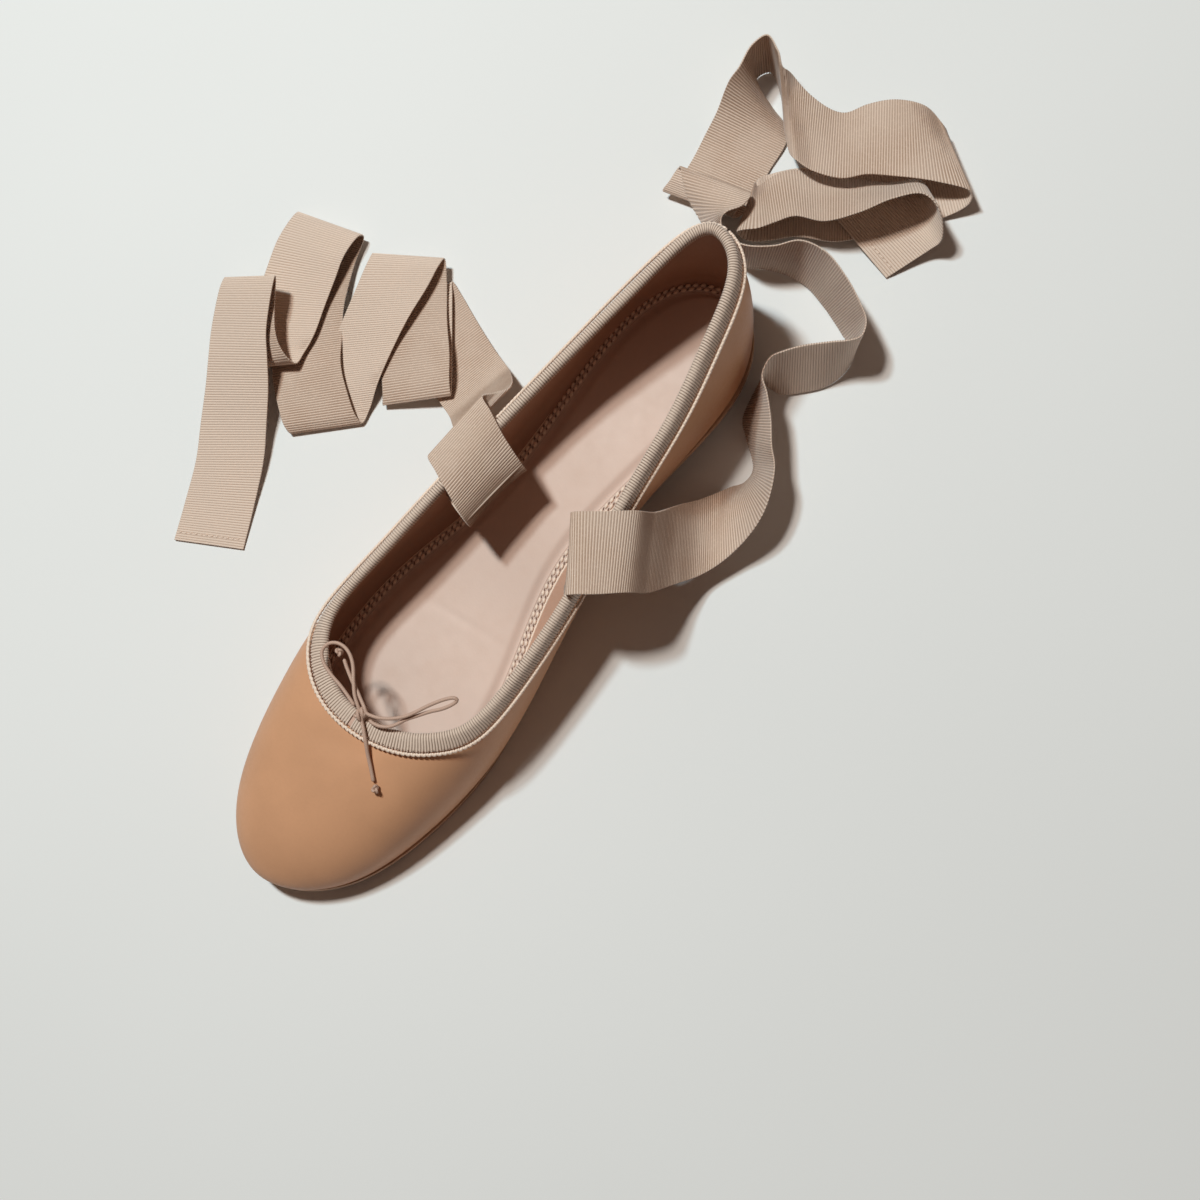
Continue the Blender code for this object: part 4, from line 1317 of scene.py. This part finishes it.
def sewn(name, rows, material, thread, sink=0.3):
    """Lens-shaped stitches, partly sunk in: one between each two points of each row of (points, normals)."""
    near = np.concatenate([points[:-1] for points, _ in rows])
    far = np.concatenate([points[1:] for points, _ in rows])
    up = np.concatenate([normals[: len(points) - 1] for points, normals in rows])
    ahead = (far - near) / 2
    side = unit(np.cross(up, ahead))
    rise = unit(np.cross(ahead, side))
    middle = (near + far) / 2 + rise * thread * (0.5 - sink)
    form, each = copies(len(middle))
    form.verts.ensure_lookup_table()
    bead = np.array([form.verts[index].co for index in range(each)])
    places = middle[:, None] + bead[None, :, 0:1] * ahead[:, None]
    places = places + (bead[None, :, 1:2] * side[:, None] + bead[None, :, 2:3] * rise[:, None]) * thread / 2
    for vert, spot in zip(form.verts, to_frame(places.reshape(-1, 3))):
        vert.co = spot
    bmesh.ops.recalc_face_normals(form, faces=form.faces)
    return finished(name, form, [material], 80)


def along_wall(wall, depth, off, start, end, step):
    """Points and outward normals along the wall at this depth, even between two shares of the way round."""
    line = close_ring(wall.at(depth, off))
    above = close_ring(wall.at(np.asarray(depth) - 0.5, off))
    run = run_of(line)
    wanted = np.arange(run[-1] * start, run[-1] * end, step)
    points = resample(line, run, wanted)
    up = resample(above, run, wanted) - points
    normals = unit(np.cross(up, np.gradient(points, axis=0)))
    return points, normals


class FLAT_OT_stitching(bpy.types.Operator):
    """Sews the tape's lower edge, the seam round the footbed and the ribbons' hems"""

    bl_idname = "flat.stitching"
    bl_label = "Stitching"

    def execute(self, context):
        wall = Wall(*WALL_FINENESS)
        thread = spun_thread("cream_thread", tuple(colours().thread))
        # The needle holes get dark beads of painted shade.
        hole_shade = Nodes("needle_hole_shade", tuple(colours().hole_shade_colour), 0.9).material
        self.sew_tape(wall, thread, hole_shade)
        self.sew_footbed(wall, thread, hole_shade)
        self.sew_hems(thread)
        return {"FINISHED"}

    def sew_tape(self, wall, thread, hole_shade):
        step, width = sizes().zigzag_step / MM, sizes().thread / MM
        low, normals = along_wall(wall, 4.8, 0.8, 0.0, 1.0, step / 2)
        high, _ = along_wall(wall, 3.6, 1.35, 0.0, 1.0, step / 2)
        count = min(len(low), len(high), len(normals))
        points = np.array([(low if index % 2 else high)[index] for index in range(count)])
        sewn("tape_stitches", [(points, normals[:count])], thread, width * 1.4, sink=0.05)
        # Painted shade: short dark beads beside the zigzag stand for its needle holes.
        inner, _ = along_wall(wall, 3.2, 1.12, 0.0, 1.0, step / 2)
        ahead = unit(np.gradient(inner, axis=0))
        holes = [(np.stack([p - d * 0.22, p + d * 0.22]), np.stack([n, n]))
                 for p, n, d in zip(inner[::2], normals[::2], ahead[::2])]
        sewn("tape_hole_shade", holes, hole_shade, 0.34, sink=0.25)

    def sew_footbed(self, wall, thread, hole_shade):
        step, width = sizes().seam_step / MM, sizes().thread / MM
        places = [seam_ring(wall, inward) + (0.0, 0.0, lift) for inward, lift in SEAM_BAND]
        band = np.stack([close_ring(place) for place in places], 1)
        form = laid_grid(band, run_of(band[:, 2]), run_of(band[0]), flip=True)
        material = shimmer("seam_band", shade(tuple(colours().sock), 0.92))
        made = finished("seam_band", form, [material])
        rows, holes = [], []
        for inward, shift in ((-0.55, 0.0), (-1.85, 0.5)):
            line = close_ring(seam_ring(wall, inward))
            run = run_of(line)
            starts = np.arange(shift * step, run[-1] - step, step)
            ahead = unit(np.gradient(line, axis=0))
            for start in starts:
                near, far = resample(line, run, [start + 0.2, start + step * 0.8])
                slant = np.cross((0.0, 0.0, 1.0), resample(ahead, run, [start])[0]) * 0.28
                up = np.array([[0.0, 0.0, 1.0]] * 2)
                rows.append((np.stack([near - slant, far + slant]), up))
                # Painted shade: a short dark bead after each stitch stands for its needle hole.
                middle = resample(line, run, [start + step * 0.98])[0] + (0.0, 0.0, 0.35)
                dash = unit(far - near) * 0.42 + slant * 1.0
                holes.append((np.stack([middle - dash, middle + dash]), up))
        sewn("seam_stitches", rows, thread, width * 1.45, sink=0.05)
        sewn("seam_hole_shade", holes, hole_shade, 0.38, sink=0.1)
        ridge = close_ring(seam_ring(wall, -2.75))
        made = finished("seam_ridge", tube(even_points(ridge, 1.2), 0.8, 8), [thread])
        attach(made, "root")

    def sew_hems(self, thread):
        rows = []
        for table in (TIE_LATERAL, TIE_MEDIAL):
            run, middle, lines, normals = ribbon_path(table, 0.5)
            at = len(run) - 7
            face = normals[at] if normals[at][2] > 0 else -normals[at]
            for start in np.arange(-11.6, 11.0, 1.9):
                ends = [middle[at] + lines[at] * place + face * 0.42 for place in (start, start + 1.1)]
                rows.append((np.array(ends), np.array([face, face])))
        sewn("hem_stitches", rows, thread, 0.42, sink=0.3)


# ---------------------------------------------------------------- add-on


STEPS = (
    FLAT_OT_stage,
    FLAT_OT_bow,
    FLAT_OT_ties,
    FLAT_OT_upper,
    FLAT_OT_tape,
    FLAT_OT_sock,
    FLAT_OT_sole,
    FLAT_OT_stitching,
)


class FLAT_PT_panel(bpy.types.Panel):
    """Lists the sizes, the colours and the pieces"""

    bl_idname = "FLAT_PT_panel"
    bl_label = "Ballet flat"
    bl_space_type = "VIEW_3D"
    bl_region_type = "UI"
    bl_category = "Ballet flat"

    def draw(self, context):
        for group in (context.scene.flat_sizes, context.scene.flat_colours, context.scene.flat_stage):
            box = self.layout.box()
            for name in group.__annotations__:
                box.prop(group, name)
        for step in STEPS:
            self.layout.operator(step.bl_idname)


GROUPS = (("flat_sizes", FlatSizes), ("flat_colours", FlatColours), ("flat_stage", FlatStage))


def register():
    for name, group in GROUPS:
        bpy.utils.register_class(group)
        setattr(bpy.types.Scene, name, PointerProperty(type=group))
    for step in (*STEPS, FLAT_PT_panel):
        bpy.utils.register_class(step)


def unregister():
    for step in (FLAT_PT_panel, *reversed(STEPS)):
        bpy.utils.unregister_class(step)
    for name, group in reversed(GROUPS):
        delattr(bpy.types.Scene, name)
        bpy.utils.unregister_class(group)


def main():
    register()
    for step in STEPS:
        family, action = step.bl_idname.split(".")
        getattr(getattr(bpy.ops, family), action)()


if __name__ == "__main__":
    main()
